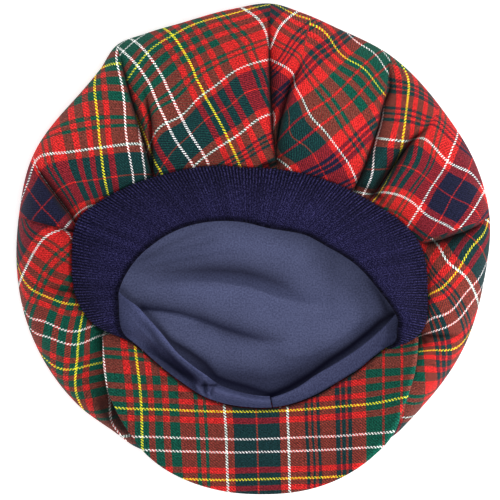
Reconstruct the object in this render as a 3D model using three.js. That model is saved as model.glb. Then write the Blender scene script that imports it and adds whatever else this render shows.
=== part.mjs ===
// A baker boy cap lying on its crown with the opening up.
// Lengths are millimetres, angles are degrees, +Z is up and the peak points to -Y.
import * as THREE from "three";

// Cloth thicknesses
const CROWN_CLOTH = 1.6;
const LINING_CLOTH = 1.0;
const BAND_KNIT = 3.0;
const STRIP_CLOTH = 1.4;
const PEAK_THICKNESS = 3.6;

// Gaps and laps of the sewn joins
const SEAM_GAP = 0.4;
const CROWN_LAP = 3.5;

// Heights above the ground
const RIM_HEIGHT = 25;
const SEAM_HEIGHT = 42;
const PANEL_BULGE = 9;
const BAND_BULGE = 2.5;
const BAND_BULGE_SHARE = 0.15;
const BOWL_HEIGHT = 22;

// Peak
const PEAK_CENTRE = new THREE.Vector2(5.1, -58.2);
const PEAK_HALF_WIDTH = 95.5;
const PEAK_FRONT = 89.0;
const PEAK_FULLNESS = 0.9;
const PEAK_PITCH = 26;
const PEAK_ARCH = 21.5;
const PEAK_ROOT = { from: 342, to: 199 };
const PEAK_RIM = { from: 362.2, to: 177.4 };

// Mesh density
const PANEL_STEPS = 10;
const BAND_STEPS = 44;
const BAND_CROWDING = 0.09;
const PEAK_STEPS = 26;
const STRIP_STEPS = 12;

// The crown's outline seen from above, about the middle of the cap. Seams make slight corners.
const CROWN_OUTLINE = [
  { deg: 7.3, radius: 143.4 },
  { deg: 20, radius: 143.1 },
  { deg: 36, radius: 141.0 },
  { deg: 54.6, radius: 142.2 },
  { deg: 68, radius: 141.4 },
  { deg: 78, radius: 144.4 },
  { deg: 86, radius: 147.4 },
  { deg: 95, radius: 144.4 },
  { deg: 107, radius: 142.2 },
  { deg: 117, radius: 144.6 },
  { deg: 124, radius: 147.2 },
  { deg: 131, radius: 141.6 },
  { deg: 140, radius: 140.0 },
  { deg: 157, radius: 144.0 },
  { deg: 172.5, radius: 142.6 },
  { deg: 200, radius: 143.6 },
  { deg: 221, radius: 141.9 },
  { deg: 240, radius: 136.9 },
  { deg: 270, radius: 131.4 },
  { deg: 300, radius: 136.4 },
  { deg: 318.6, radius: 139.4 },
  { deg: 335, radius: 140.1 },
  { deg: 352, radius: 140.2 },
];

// The sewn edge of the opening, about the opening's own centre.
const OPENING_CENTRE = new THREE.Vector2(-2.1, -25.2);
const OPENING = [
  { deg: 0, seam: 105.6 },
  { deg: 14, seam: 105.2 },
  { deg: 22, seam: 100.6 },
  { deg: 34.5, seam: 90.2 },
  { deg: 48, seam: 82.4 },
  { deg: 67, seam: 75.4 },
  { deg: 90, seam: 72.6 },
  { deg: 105, seam: 76.3 },
  { deg: 125, seam: 84.6 },
  { deg: 139, seam: 94.5 },
  { deg: 150, seam: 104.2 },
  { deg: 158, seam: 110.8 },
  { deg: 170, seam: 107.6 },
  { deg: 182, seam: 103.6 },
  { deg: 196, seam: 92.4 },
  { deg: 205, seam: 80.0 },
  { deg: 221, seam: 71.8 },
  { deg: 242, seam: 69.5 },
  { deg: 279, seam: 72.0 },
  { deg: 308, seam: 76.0 },
  { deg: 322, seam: 81.0 },
  { deg: 336, seam: 90.0 },
  { deg: 346, seam: 105.0 },
];

// The band from its right end round the back to its left end: free edge radius, climb to it, how
// far inside the sewn edge it starts, and height there. Its ends ride over the peak's corners.
const BAND = [
  { deg: -23, edge: 89.8, climb: 0.5, inside: 0.3, base: 6.5 },
  { deg: -19, edge: 92.4, climb: 1.5, inside: 0, base: 7.5 },
  { deg: -15, edge: 91.2, climb: 4, inside: 0, base: 8 },
  { deg: -11, edge: 90.0, climb: 8, inside: -0.5, base: 4 },
  { deg: -7, edge: 85.4, climb: 15, inside: -0.5, base: 0.4 },
  { deg: 0, edge: 77.0, climb: 19, inside: -0.5, base: 0 },
  { deg: 10, edge: 68.0, climb: 19, inside: -0.5, base: 0 },
  { deg: 28, edge: 53.8, climb: 18, inside: -0.5, base: 0 },
  { deg: 45, edge: 46.6, climb: 20, inside: -0.5, base: 0 },
  { deg: 60, edge: 41.0, climb: 21, inside: -0.5, base: 0 },
  { deg: 76, edge: 38.5, climb: 22, inside: -0.5, base: 0 },
  { deg: 98, edge: 41.2, climb: 22, inside: -0.5, base: 0 },
  { deg: 115, edge: 45.5, climb: 21, inside: -0.5, base: 0 },
  { deg: 131, edge: 51.8, climb: 19, inside: -0.5, base: 0 },
  { deg: 152, edge: 62.6, climb: 16, inside: -0.5, base: 0 },
  { deg: 167, edge: 72.0, climb: 17, inside: -0.5, base: 0 },
  { deg: 180, edge: 79.5, climb: 18, inside: -0.5, base: 0 },
  { deg: 187, edge: 81.6, climb: 15, inside: -0.5, base: 0.2 },
  { deg: 193, edge: 82.6, climb: 9.5, inside: 0.6, base: 2 },
  { deg: 197, edge: 82.0, climb: 5, inside: 2.4, base: 4.6 },
  { deg: 200.5, edge: 80.0, climb: 2, inside: 2.8, base: 5 },
  { deg: 204, edge: 76.6, climb: 0.5, inside: 2.8, base: 5 },
];

// The strips of lining cloth behind the peak: free edge radius, height of the slack, edge height.
const LEFT_STRIP = [
  { deg: 177, edge: 82.0, slack: 2, lift: 0 },
  { deg: 182, edge: 77.0, slack: 3, lift: 0 },
  { deg: 189, edge: 67.5, slack: 6, lift: 0 },
  { deg: 204, edge: 59.6, slack: 7, lift: 1 },
  { deg: 222, edge: 57.4, slack: 6, lift: 2 },
  { deg: 241, edge: 57.2, slack: 5, lift: 3 },
  { deg: 252, edge: 59.6, slack: 3, lift: 1 },
  { deg: 265, edge: 61.0, slack: 3, lift: 1 },
  { deg: 277.6, edge: 64.0, slack: 3, lift: 0 },
];
const RIGHT_STRIP = [
  { deg: 279.4, edge: 63.8, slack: 1, lift: 2 },
  { deg: 295, edge: 62.8, slack: 1, lift: 3 },
  { deg: 310, edge: 62.9, slack: 1, lift: 3 },
  { deg: 324, edge: 66.4, slack: 1, lift: 3 },
  { deg: 336, edge: 72.4, slack: 1, lift: 3 },
  { deg: 346, edge: 83.0, slack: 1, lift: 3 },
  { deg: 350.5, edge: 88.0, slack: 1, lift: 3 },
];

// The eight seams, each with the panel that starts at it going anticlockwise from above.
const SEAMS = [
  { panel: "right_upper", outline: 7.3, opening: 15.6, depth: 9, width: 8, puff: 1.0 },
  { panel: "back_right", outline: 54.6, opening: 43.6, depth: 7, width: 7, puff: 1.0 },
  { panel: "back_left", outline: 86, opening: 77, depth: 7, width: 9, puff: 1.0 },
  { panel: "left_upper", outline: 124, opening: 131, depth: 9, width: 8, puff: 1.0 },
  { panel: "left_lower", outline: 172.5, opening: 161.8, depth: 5, width: 8, puff: 0.9 },
  { panel: "front_left", outline: 242, opening: 205, depth: 2, width: 8, puff: 0.35 },
  { panel: "front_right", outline: 270, opening: 275.8, depth: 2, width: 8, puff: 0.1 },
  { panel: "right_lower", outline: 304, opening: 338, depth: 2, width: 8, puff: 0.35 },
];

// Folds inside the panels, from the outline to the opening.
const FOLDS = [
  { outline: 36, opening: 37.5, depth: 12, width: 7, start: 0.2 },
  { outline: 79, opening: 73, depth: 4, width: 8, start: 0.05 },
  { outline: 159, opening: 156, depth: 9, width: 9, start: 0.05 },
  { outline: 188, opening: 181, depth: 5, width: 7, start: 0.45 },
  { outline: 340, opening: 350, depth: 6, width: 10, start: 0.3 },
];
const SEAM_START = 0.1;
const FOLD_RAMP = 0.25;
const FOLD_END = 0.35;

// A panel's lengthways section: on the ground and up to the rim, then from the rim to the opening.
// Lean is the angle of the outward side above the horizontal.
const TOP_SECTION = [
  { share: 0.012, climb: 0, lean: -90 },
  { share: 0.35, climb: 0, lean: -90 },
  { share: 0.66, climb: 0, lean: -90 },
  { share: 0.8, climb: 0.06, lean: -76 },
  { share: 0.9, climb: 0.22, lean: -58 },
  { share: 0.965, climb: 0.5, lean: -34 },
  { share: 0.993, climb: 0.78, lean: -12 },
];
const UNDER_SECTION = [
  { share: 0, climb: 0, bulge: 0, lean: 5 },
  { share: 0.05, climb: 0.36, bulge: 0.15, lean: 30 },
  { share: 0.13, climb: 0.62, bulge: 0.4, lean: 52 },
  { share: 0.26, climb: 0.82, bulge: 0.7, lean: 70 },
  { share: 0.42, climb: 0.93, bulge: 0.95, lean: 84 },
  { share: 0.6, climb: 0.98, bulge: 1.0, lean: 90 },
  { share: 0.78, climb: 1.0, bulge: 0.75, lean: 90 },
  { share: 0.9, climb: 1.0, bulge: 0.35, lean: 90 },
  { share: 0.96, climb: 1.0, bulge: 0, lean: 90 },
];

// The lining bowl from its sewn rim to its middle.
const BOWL_SECTION = [
  { share: 0, climb: 1.0, lean: 10 },
  { share: 0.02, climb: 0.8, lean: 28 },
  { share: 0.07, climb: 0.55, lean: 46 },
  { share: 0.16, climb: 0.3, lean: 62 },
  { share: 0.3, climb: 0.12, lean: 77 },
  { share: 0.5, climb: 0.03, lean: 87 },
  { share: 0.75, climb: 0, lean: 90 },
];

const radians = THREE.MathUtils.degToRad;
const mix = THREE.MathUtils.lerp;
const smooth = THREE.MathUtils.smoothstep;

// A smooth curve through one column of a table. A closed table repeats every 360 degrees.
function curve(rows, column, closed) {
  const row = (i) => {
    if (!closed) {
      const held = rows[Math.min(Math.max(i, 0), rows.length - 1)];
      return { deg: held.deg, value: held[column] };
    }
    const turn = Math.floor(i / rows.length);
    const found = rows[i - turn * rows.length];
    return { deg: found.deg + 360 * turn, value: found[column] };
  };
  const slope = (i) => {
    const before = row(i - 1);
    const after = row(i + 1);
    return (after.value - before.value) / (after.deg - before.deg);
  };
  return (deg) => {
    const first = rows[0].deg;
    const angle = closed ? deg - 360 * Math.floor((deg - first) / 360) : deg;
    let i = 0;
    while (i < rows.length - (closed ? 1 : 2) && row(i + 1).deg <= angle) i += 1;
    const a = row(i);
    const b = row(i + 1);
    const span = b.deg - a.deg;
    const t = (angle - a.deg) / span;
    const swing = t * (1 - t) * span;
    const ease = t * t * (3 - 2 * t);
    return mix(a.value, b.value, ease) + swing * ((1 - t) * slope(i) - t * slope(i + 1));
  };
}

const outlineRadius = curve(CROWN_OUTLINE, "radius", true);
const seamRadius = curve(OPENING, "seam", true);

function polar(centre, radius, deg) {
  const a = radians(deg);
  return new THREE.Vector2(centre.x + radius * Math.cos(a), centre.y + radius * Math.sin(a));
}

const outlinePoint = (deg) => polar(new THREE.Vector2(), outlineRadius(deg), deg);

// A point on the sewn edge, moved inwards by a distance square to the edge.
function openingPoint(deg, inwards = 0) {
  const here = polar(OPENING_CENTRE, seamRadius(deg), deg);
  const ahead = polar(OPENING_CENTRE, seamRadius(deg + 1), deg + 1);
  const behind = polar(OPENING_CENTRE, seamRadius(deg - 1), deg - 1);
  const along = ahead.sub(behind).normalize();
  return here.add(new THREE.Vector2(-along.y, along.x).multiplyScalar(inwards));
}

const raise = (plan, z) => new THREE.Vector3(plan.x, plan.y, z);

// A closed wall between two faces, each a grid of points [step][station].
// A ring joins its last step to its first, and closes its last station to a point.
function wall(name, outer, inner, finish, ring = false) {
  const steps = outer.length;
  const stations = outer[0].length;
  const points = [];
  const faces = [];
  for (const face of [outer, inner]) {
    for (const line of face) points.push(...line);
  }
  const at = (side, i, j) => (side * steps + (i % steps)) * stations + j;
  const quad = (a, b, c, d) => faces.push(a, b, c, a, c, d);
  const last = ring ? steps : steps - 1;
  for (let i = 0; i < last; i += 1) {
    for (let j = 0; j < stations - 1; j += 1) {
      quad(at(0, i, j), at(0, i + 1, j), at(0, i + 1, j + 1), at(0, i, j + 1));
      quad(at(1, i, j), at(1, i, j + 1), at(1, i + 1, j + 1), at(1, i + 1, j));
    }
    quad(at(1, i, 0), at(1, i + 1, 0), at(0, i + 1, 0), at(0, i, 0));
    const end = stations - 1;
    if (!ring) quad(at(0, i, end), at(0, i + 1, end), at(1, i + 1, end), at(1, i, end));
  }
  if (ring) {
    for (const side of [0, 1]) {
      const middle = new THREE.Vector3();
      for (let i = 0; i < steps; i += 1) middle.add(points[at(side, i, stations - 1)]);
      const hub = points.push(middle.divideScalar(steps)) - 1;
      for (let i = 0; i < steps; i += 1) {
        const a = at(side, i, stations - 1);
        const b = at(side, i + 1, stations - 1);
        faces.push(...(side ? [b, a, hub] : [a, b, hub]));
      }
    }
  } else {
    for (let j = 0; j < stations - 1; j += 1) {
      quad(at(0, 0, j), at(0, 0, j + 1), at(1, 0, j + 1), at(1, 0, j));
      quad(at(1, last, j), at(1, last, j + 1), at(0, last, j + 1), at(0, last, j));
    }
  }
  const shape = new THREE.BufferGeometry().setFromPoints(points);
  shape.setIndex(faces);
  shape.computeVertexNormals();
  const mesh = new THREE.Mesh(shape, new THREE.MeshStandardMaterial(finish));
  mesh.name = name;
  return mesh;
}

// How far the folds and seams pull the crown's underside down at a point seen from above.
const CREASES = [
  ...SEAMS.map((row) => ({ ...row, start: SEAM_START })),
  ...FOLDS,
].map((row) => ({ ...row, from: outlinePoint(row.outline), to: openingPoint(row.opening) }));

function dent(plan, share) {
  const fade = mix(1, FOLD_END, smooth(share, 0.85, 1));
  let depth = 0;
  for (const crease of CREASES) {
    const along = crease.to.clone().sub(crease.from);
    const away = plan.clone().sub(crease.from);
    const t = THREE.MathUtils.clamp(away.dot(along) / along.lengthSq(), 0, 1);
    const off = away.sub(along.multiplyScalar(t)).length() / crease.width;
    const ramp = smooth(share, crease.start, crease.start + FOLD_RAMP);
    depth = Math.max(depth, crease.depth * ramp * fade * Math.exp(-off * off));
  }
  return depth;
}

// One lengthways line of the crown: points on the outward face and on the inward face.
function crownLine(outline, opening, puff) {
  const rim = outlinePoint(outline);
  const edge = openingPoint(opening);
  const out = rim.clone().normalize();
  const outer = [];
  const inner = [];
  const add = (plan, z, lean) => {
    const side = raise(out.clone().multiplyScalar(Math.cos(radians(lean))), Math.sin(radians(lean)));
    const point = raise(plan, z);
    outer.push(point);
    inner.push(point.clone().addScaledVector(side, -CROWN_CLOTH));
  };
  for (const row of TOP_SECTION) {
    add(rim.clone().multiplyScalar(row.share), row.climb * RIM_HEIGHT, row.lean);
  }
  const height = (plan, row) => {
    const rise = mix(RIM_HEIGHT, SEAM_HEIGHT, row.climb) + puff * PANEL_BULGE * row.bulge;
    return rise - dent(plan, row.share);
  };
  for (const row of UNDER_SECTION) {
    const plan = rim.clone().lerp(edge, row.share);
    add(plan, height(plan, row), row.lean);
  }
  const tucked = openingPoint(opening, CROWN_LAP);
  add(tucked, height(edge, UNDER_SECTION.at(-1)), 90);
  return { outer, inner };
}

// The angles of a panel's lengthways lines at the outline and at the opening, with its puff.
function panelLines(index) {
  const here = SEAMS[index];
  const following = SEAMS[(index + 1) % SEAMS.length];
  const turn = index === SEAMS.length - 1 ? 360 : 0;
  return Array.from({ length: PANEL_STEPS + 1 }, (_, i) => {
    const t = i / PANEL_STEPS;
    return {
      outline: mix(here.outline, following.outline + turn, t),
      opening: mix(here.opening, following.opening + turn, t),
      puff: mix(here.puff, following.puff, smooth(t, 0, 1)),
    };
  });
}

// One crown panel from its own seam to the next, its edges drawn in for the gap at the seams.
function crownPanel(index) {
  const lines = panelLines(index).map((row) => crownLine(row.outline, row.opening, row.puff));
  const outer = lines.map((line) => line.outer);
  const inner = lines.map((line) => line.inner);
  for (const face of [outer, inner]) {
    for (let j = 0; j < face[0].length; j += 1) {
      for (const [edge, next] of [[0, 1], [PANEL_STEPS, PANEL_STEPS - 1]]) {
        const inwards = face[next][j].clone().sub(face[edge][j]);
        const pull = Math.min(SEAM_GAP / 2, 0.3 * inwards.length());
        face[edge][j].addScaledVector(inwards.normalize(), pull);
      }
    }
  }
  const finish = { color: 0x8c3230, roughness: 0.9, metalness: 0 };
  return wall(`crown_panel_${SEAMS[index].panel}`, outer, inner, finish);
}

// A strip laid over the sewn edge: its lower face from the root to the free edge, and thickness.
function overlay(name, steps, angles, line, thickness, finish) {
  const outer = [];
  const inner = [];
  for (let i = 0; i <= steps; i += 1) {
    const t = i / steps;
    const crowded = t - (angles.crowding ?? 0) * Math.sin(2 * Math.PI * t);
    const lower = line(mix(angles.from, angles.to, crowded), t);
    inner.push(lower);
    outer.push(lower.map((point) => point.clone().setZ(point.z + thickness)));
  }
  return wall(name, outer, inner, finish);
}

const ACROSS = [0, 0.25, 0.5, 0.75, 1];

function knitBand() {
  const edge = curve(BAND, "edge", false);
  const climb = curve(BAND, "climb", false);
  const inside = curve(BAND, "inside", false);
  const base = curve(BAND, "base", false);
  const angles = { from: BAND[0].deg, to: BAND.at(-1).deg, crowding: BAND_CROWDING };
  const line = (deg) => {
    const root = openingPoint(deg, inside(deg));
    const free = polar(OPENING_CENTRE, edge(deg), deg);
    const bulge = Math.min(BAND_BULGE, BAND_BULGE_SHARE * root.distanceTo(free));
    return ACROSS.map((share) => {
      const swell = bulge * Math.sin(Math.PI * share);
      const z = SEAM_HEIGHT + SEAM_GAP + base(deg) + climb(deg) * share + swell;
      return raise(root.clone().lerp(free, share), z);
    });
  };
  const finish = { color: 0x221c4c, roughness: 0.95, metalness: 0 };
  return overlay("knit_band", BAND_STEPS, angles, line, BAND_KNIT, finish);
}

function frontStrip(name, rows) {
  const edge = curve(rows, "edge", false);
  const slack = curve(rows, "slack", false);
  const lift = curve(rows, "lift", false);
  const angles = { from: rows[0].deg, to: rows.at(-1).deg };
  const line = (deg) => {
    const root = openingPoint(deg, CROWN_LAP + SEAM_GAP);
    const free = polar(OPENING_CENTRE, edge(deg), deg);
    return ACROSS.map((share) => {
      const swell = slack(deg) * Math.sin(Math.PI * share) * share;
      const z = SEAM_HEIGHT + SEAM_GAP + lift(deg) * share + swell;
      return raise(root.clone().lerp(free, share), z);
    });
  };
  const finish = { color: 0x2a2a52, roughness: 0.6, metalness: 0 };
  return overlay(name, STRIP_STEPS, angles, line, STRIP_CLOTH, finish);
}

// The peak slopes up to its front edge and curves up to both sides.
const fuller = (value) => Math.sign(value) * Math.abs(value) ** PEAK_FULLNESS;

function peak() {
  const sheet = (plan) => {
    const off = (plan.x - PEAK_CENTRE.x) / PEAK_HALF_WIDTH;
    return PEAK_ARCH * off * off - plan.y * Math.tan(radians(PEAK_PITCH));
  };
  const line = (deg, t) => {
    const root = openingPoint(deg, CROWN_LAP - SEAM_GAP);
    const a = radians(mix(PEAK_RIM.from, PEAK_RIM.to, t));
    const rim = new THREE.Vector2(
      PEAK_HALF_WIDTH * fuller(Math.cos(a)),
      PEAK_FRONT * fuller(Math.sin(a)),
    );
    rim.add(PEAK_CENTRE);
    return ACROSS.map((share) => {
      const plan = root.clone().lerp(rim, share);
      return raise(plan, SEAM_HEIGHT + SEAM_GAP + sheet(plan) - sheet(root));
    });
  };
  const finish = { color: 0x7c342e, roughness: 0.9, metalness: 0 };
  return overlay("peak", PEAK_STEPS, PEAK_ROOT, line, PEAK_THICKNESS, finish);
}

function lining() {
  const outer = [];
  const inner = [];
  const angles = SEAMS.flatMap((row, index) => panelLines(index).slice(1).map((line) => line.opening));
  for (const deg of angles) {
    const rim = openingPoint(deg, CROWN_LAP + SEAM_GAP);
    const out = rim.clone().sub(OPENING_CENTRE).normalize();
    const face = BOWL_SECTION.map((row) => {
      const plan = rim.clone().lerp(OPENING_CENTRE, row.share);
      return raise(plan, mix(BOWL_HEIGHT, SEAM_HEIGHT - SEAM_GAP, row.climb));
    });
    inner.push(face);
    outer.push(face.map((point, j) => {
      const lean = radians(BOWL_SECTION[j].lean);
      const side = raise(out.clone().multiplyScalar(-Math.cos(lean)), Math.sin(lean));
      return point.clone().addScaledVector(side, LINING_CLOTH);
    }));
  }
  const finish = { color: 0x404464, roughness: 0.45, metalness: 0 };
  return wall("lining", outer, inner, finish, true);
}

const cap = new THREE.Group();
cap.name = "baker_boy_cap";
SEAMS.forEach((row, index) => cap.add(crownPanel(index)));
cap.add(
  knitBand(),
  peak(),
  frontStrip("front_strip_left", LEFT_STRIP),
  frontStrip("front_strip_right", RIGHT_STRIP),
  lining(),
);

// The origin is the middle of the bottom of the whole cap's box.
const box = new THREE.Box3().setFromObject(cap);
const shift = box.getCenter(new THREE.Vector3()).setZ(box.min.z).negate();
for (const mesh of cap.children) mesh.geometry.translate(shift.x, shift.y, shift.z);

export default cap;
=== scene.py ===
# %% [markdown]
# This lesson dresses the solids of a baker boy cap that lies upside down on its crown. The solids
# give every piece its place and size. Here each one is made again as cloth, with its creases, its
# woven check and its knitting. First the solids are loaded.

import bpy
import numpy as np
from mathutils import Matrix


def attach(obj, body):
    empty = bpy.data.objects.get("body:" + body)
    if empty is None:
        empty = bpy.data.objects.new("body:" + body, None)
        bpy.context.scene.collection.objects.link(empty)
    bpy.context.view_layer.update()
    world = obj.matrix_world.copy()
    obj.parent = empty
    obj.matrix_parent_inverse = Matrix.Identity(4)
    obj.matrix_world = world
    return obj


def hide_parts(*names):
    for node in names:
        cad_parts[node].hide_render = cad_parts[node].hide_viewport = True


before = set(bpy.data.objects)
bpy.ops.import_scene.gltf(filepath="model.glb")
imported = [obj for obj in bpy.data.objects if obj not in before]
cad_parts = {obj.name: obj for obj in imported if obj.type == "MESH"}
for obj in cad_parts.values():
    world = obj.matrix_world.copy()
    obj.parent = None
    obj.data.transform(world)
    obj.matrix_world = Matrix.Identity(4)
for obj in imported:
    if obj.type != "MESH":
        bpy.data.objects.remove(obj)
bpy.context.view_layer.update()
bpy.ops.object.select_all(action="DESELECT")
print("solids:", ", ".join(sorted(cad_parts)))

# %% [markdown]
# Cloth is easiest to shape as numbers. Every piece below starts as a flat grid from the Add menu,
# and its vertices are then moved to places worked out from short tables. The tables hold angles
# and distances as seen from above, in millimetres. A smooth curve through each table gives the
# places between its rows.

# %% Curves through tables
# From the middle of the tables to the middle of the frame, in millimetres
SHIFT = np.array([0.250, 0.085])


def curve(places, values, closed=False):
    """A smooth curve through a table. A closed one repeats every 360 degrees."""
    places = np.array(places, float)
    values = np.array(values, float)
    first = places[0]
    if closed:
        places = np.concatenate([places[-2:] - 360, places, places[:3] + 360])
        values = np.concatenate([values[-2:], values, values[:3]])
    slopes = np.gradient(values)
    slopes[1:-1] = (values[2:] - values[:-2]) / (places[2:] - places[:-2])
    slopes[0] = (values[1] - values[0]) / (places[1] - places[0])
    slopes[-1] = (values[-1] - values[-2]) / (places[-1] - places[-2])

    def at(where):
        where = np.asarray(where, float)
        if closed:
            where = first + (where - first) % 360
        i = np.clip(np.searchsorted(places, where, side="right") - 1, 0, len(places) - 2)
        span = places[i + 1] - places[i]
        t = (where - places[i]) / span
        smooth = t * t * (3 - 2 * t)
        swing = t * (1 - t) * span * ((1 - t) * slopes[i] - t * slopes[i + 1])
        return values[i] + (values[i + 1] - values[i]) * smooth + swing

    return at


def columns(rows):
    """The columns of a table."""
    return [list(column) for column in zip(*rows)]


def mix(a, b, t):
    """Between a and b, by a share."""
    return a + (b - a) * t


def ease(t, start, end):
    """A smooth step from 0 at start to 1 at end."""
    t = np.clip((t - start) / (end - start), 0, 1)
    return t * t * (3 - 2 * t)


def polar(centre, radius, deg):
    """Places at angles and distances from a middle."""
    a = np.radians(deg)
    return np.stack([centre[0] + radius * np.cos(a), centre[1] + radius * np.sin(a)], -1)


# The crown's outline about the middle of the cap, and the sewn edge about the opening's middle
OUTLINE = [
    (7.3, 143.4), (20, 143.1), (36, 141.0), (54.6, 142.2), (68, 141.4), (78, 144.4),
    (86, 147.4), (95, 144.4), (107, 142.2), (117, 144.6), (124, 147.2), (131, 141.6),
    (140, 140.0), (157, 144.0), (172.5, 142.6), (200, 143.6), (221, 141.9), (232, 138.9),
    (239, 139.2), (246, 136.9), (270, 131.4), (296, 136.4), (302, 139.6), (307, 141.0),
    (312, 140.1), (318.6, 139.4), (335, 140.1), (352, 140.2),
]
OPENING_CENTRE = (-2.1, -25.2)
OPENING = [
    (0, 105.6), (14, 105.2), (22, 100.6), (34.5, 90.2), (48, 82.4), (67, 75.4), (90, 72.6),
    (105, 76.3), (125, 84.6), (139, 94.5), (150, 104.2), (158, 110.8), (170, 107.6),
    (182, 103.6), (196, 92.4), (205, 80.0), (221, 71.8), (242, 69.5), (279, 72.0),
    (308, 76.0), (322, 81.0), (336, 90.0), (346, 105.0),
]
outline_radius = curve(*columns(OUTLINE), closed=True)
seam_radius = curve(*columns(OPENING), closed=True)


def outline_point(deg):
    """A point on the crown's outline."""
    return polar((0, 0), outline_radius(deg), deg)


def opening_point(deg, inwards=0.0):
    """A point on the sewn edge, moved inwards square to the edge."""
    ahead = polar(OPENING_CENTRE, seam_radius(deg + 1), deg + 1)
    behind = polar(OPENING_CENTRE, seam_radius(deg - 1), deg - 1)
    along = ahead - behind
    along = along / np.linalg.norm(along, axis=-1, keepdims=True)
    square = np.stack([-along[..., 1], along[..., 0]], -1)
    return polar(OPENING_CENTRE, seam_radius(deg), deg) + square * inwards


print("sewn edge:", round(float(seam_radius(np.arange(360)).mean() * 2 * np.pi)), "mm round")

# A helper turns squares into millimetres, and another finds how far a point lies from a charted
# line and on which side. A real fold is a line that the cloth dips into, so one distance makes
# the whole dip. Lamps alone leave the bottom of a fold too bright, so shade is charted in the
# same way.

# %% The layout sheet
SHEET_SQUARES = 500
SQUARE = 0.6
SHEET_MIDDLE = np.array([253.5, 248.0])
# How steeply folds fall off to their sides
FOLD_FALL = 1.3


def plan_of(squares):
    """Places on the layout sheet, in millimetres."""
    away = (np.array(squares, float) - SHEET_MIDDLE) * SQUARE
    return away * (1, -1)


def track(line, plan):
    """How far along a charted line each point lies, from 0 to 1, and how far to its left."""
    line = plan_of(line)
    starts, ways = line[:-1], np.diff(line, axis=0)
    lengths = np.linalg.norm(ways, axis=1)
    before = np.concatenate([[0], np.cumsum(lengths)])
    best = np.full(plan.shape[:-1], np.inf)
    along = np.zeros_like(best)
    left = np.zeros_like(best)
    for start, way, length, so_far in zip(starts, ways, lengths, before):
        away = plan - start
        t = np.clip(away @ way / length**2, 0, 1)
        off = np.linalg.norm(away - t[..., None] * way, axis=-1)
        side = np.sign(way[0] * away[..., 1] - way[1] * away[..., 0])
        nearer = off < best
        best = np.where(nearer, off, best)
        along = np.where(nearer, (so_far + t * length) / before[-1], along)
        left = np.where(nearer, side * off, left)
    return along, left


def folds_over(plan, folds):
    """Height of charted folds over a slack cloth."""
    height = np.zeros(plan.shape[:-1])
    for line, highs, wide_back, wide_front in folds:
        along, left = track(line, plan)
        high = np.interp(along, np.linspace(0, 1, len(highs)), highs)
        width = np.where(left > 0, wide_back, wide_front)
        height += high * np.exp(-np.abs(left / width) ** FOLD_FALL)
    return height


def shade_over(plan, shades):
    """How dark charted shades make a cloth. Rows below 0 make it lighter."""
    light = np.ones(plan.shape[:-1])
    for shade in shades:
        light = light * (1 - folds_over(plan, [shade]))
    return 1 - light


print("layout sheet:", SHEET_SQUARES * SQUARE, "mm each way")

# %% [markdown]
# One helper starts every piece of cloth. It adds a grid, moves its vertices to the given places
# and writes where each vertex lies on the flat cloth into a UV map. It also writes a shade to
# each vertex, which the finish reads. Modelling by hand would do the same with Add, Edit Mode
# and Vertex Paint. Other helpers apply a modifier, run Edit Mode operators, put each piece in its
# place in the frame and hide the solid it stands for.

# %% From a grid of places to a piece of cloth
# Metres within which two vertices are one
SAME_PLACE = 1e-6


def new_grid(name, places, cloth, shade):
    """A grid with its vertices at places, in millimetres, and its UV map at cloth."""
    across, along = places.shape[:2]
    bpy.ops.mesh.primitive_grid_add(x_subdivisions=across - 1, y_subdivisions=along - 1, size=2)
    piece = bpy.context.object
    piece.name = piece.data.name = name
    mesh = piece.data
    flat = np.empty(len(mesh.vertices) * 3)
    mesh.vertices.foreach_get("co", flat)
    flat = flat.reshape(-1, 3)
    i = np.rint((flat[:, 0] + 1) / 2 * (across - 1)).astype(int)
    j = np.rint((flat[:, 1] + 1) / 2 * (along - 1)).astype(int)
    spot = places[i, j].copy()
    spot[:, :2] += SHIFT
    mesh.vertices.foreach_set("co", (spot / 1000).ravel())
    corner = np.empty(len(mesh.loops), int)
    mesh.loops.foreach_get("vertex_index", corner)
    layer = mesh.uv_layers[0]
    layer.name = "cloth"
    layer.data.foreach_set("uv", cloth[i, j][corner].ravel())
    mark = mesh.attributes.new("shade", "FLOAT", "POINT")
    mark.data.foreach_set("value", shade[i, j].ravel())
    mesh.update()
    return piece


def apply(piece, kind, **settings):
    """Adds a modifier and applies it."""
    modifier = piece.modifiers.new(kind.lower(), kind)
    for key, value in settings.items():
        setattr(modifier, key, value)
    bpy.ops.object.modifier_apply(modifier=modifier.name)


def edit(*steps):
    """Runs Edit Mode operators on all of the active piece."""
    bpy.ops.object.mode_set(mode="EDIT")
    bpy.ops.mesh.select_all(action="SELECT")
    for step in steps:
        step()
    bpy.ops.object.mode_set(mode="OBJECT")


def merge():
    """Joins vertices that lie in one place."""
    bpy.ops.mesh.remove_doubles(threshold=SAME_PLACE)


def settle(piece, node, slot, material):
    """Gives a finished piece its finish and its place in the frame, and hides the solid it stands
    for.
    """
    piece.data.materials.clear()
    piece.data.materials.append(material)
    bpy.ops.object.shade_smooth()
    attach(piece, "root")
    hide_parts(node)
    bpy.ops.object.select_all(action="DESELECT")
    print(piece.name, len(piece.data.polygons), "faces")


def one_face(piece):
    """Area of one face of a thick cloth."""
    return sum(face.area for face in piece.data.polygons) / 2


def arc(places, axis):
    """Length along a grid, added up from its first line."""
    steps = np.linalg.norm(np.diff(places, axis=axis), axis=-1)
    start = np.zeros_like(np.take(steps, [0], axis))
    return np.concatenate([start, np.cumsum(steps, axis)], axis)


helpers = (new_grid, apply, edit, merge, settle, one_face, arc)
print("cloth helpers:", ", ".join(helper.__name__ for helper in helpers))

# %% [markdown]
# Shader nodes can be wired by dragging noodles. In a script it is easier to read sums, so one
# small class wraps a socket: plus, minus and times on it add Math nodes, and its node method adds
# any other node.

# %% Sums in a shader


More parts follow.
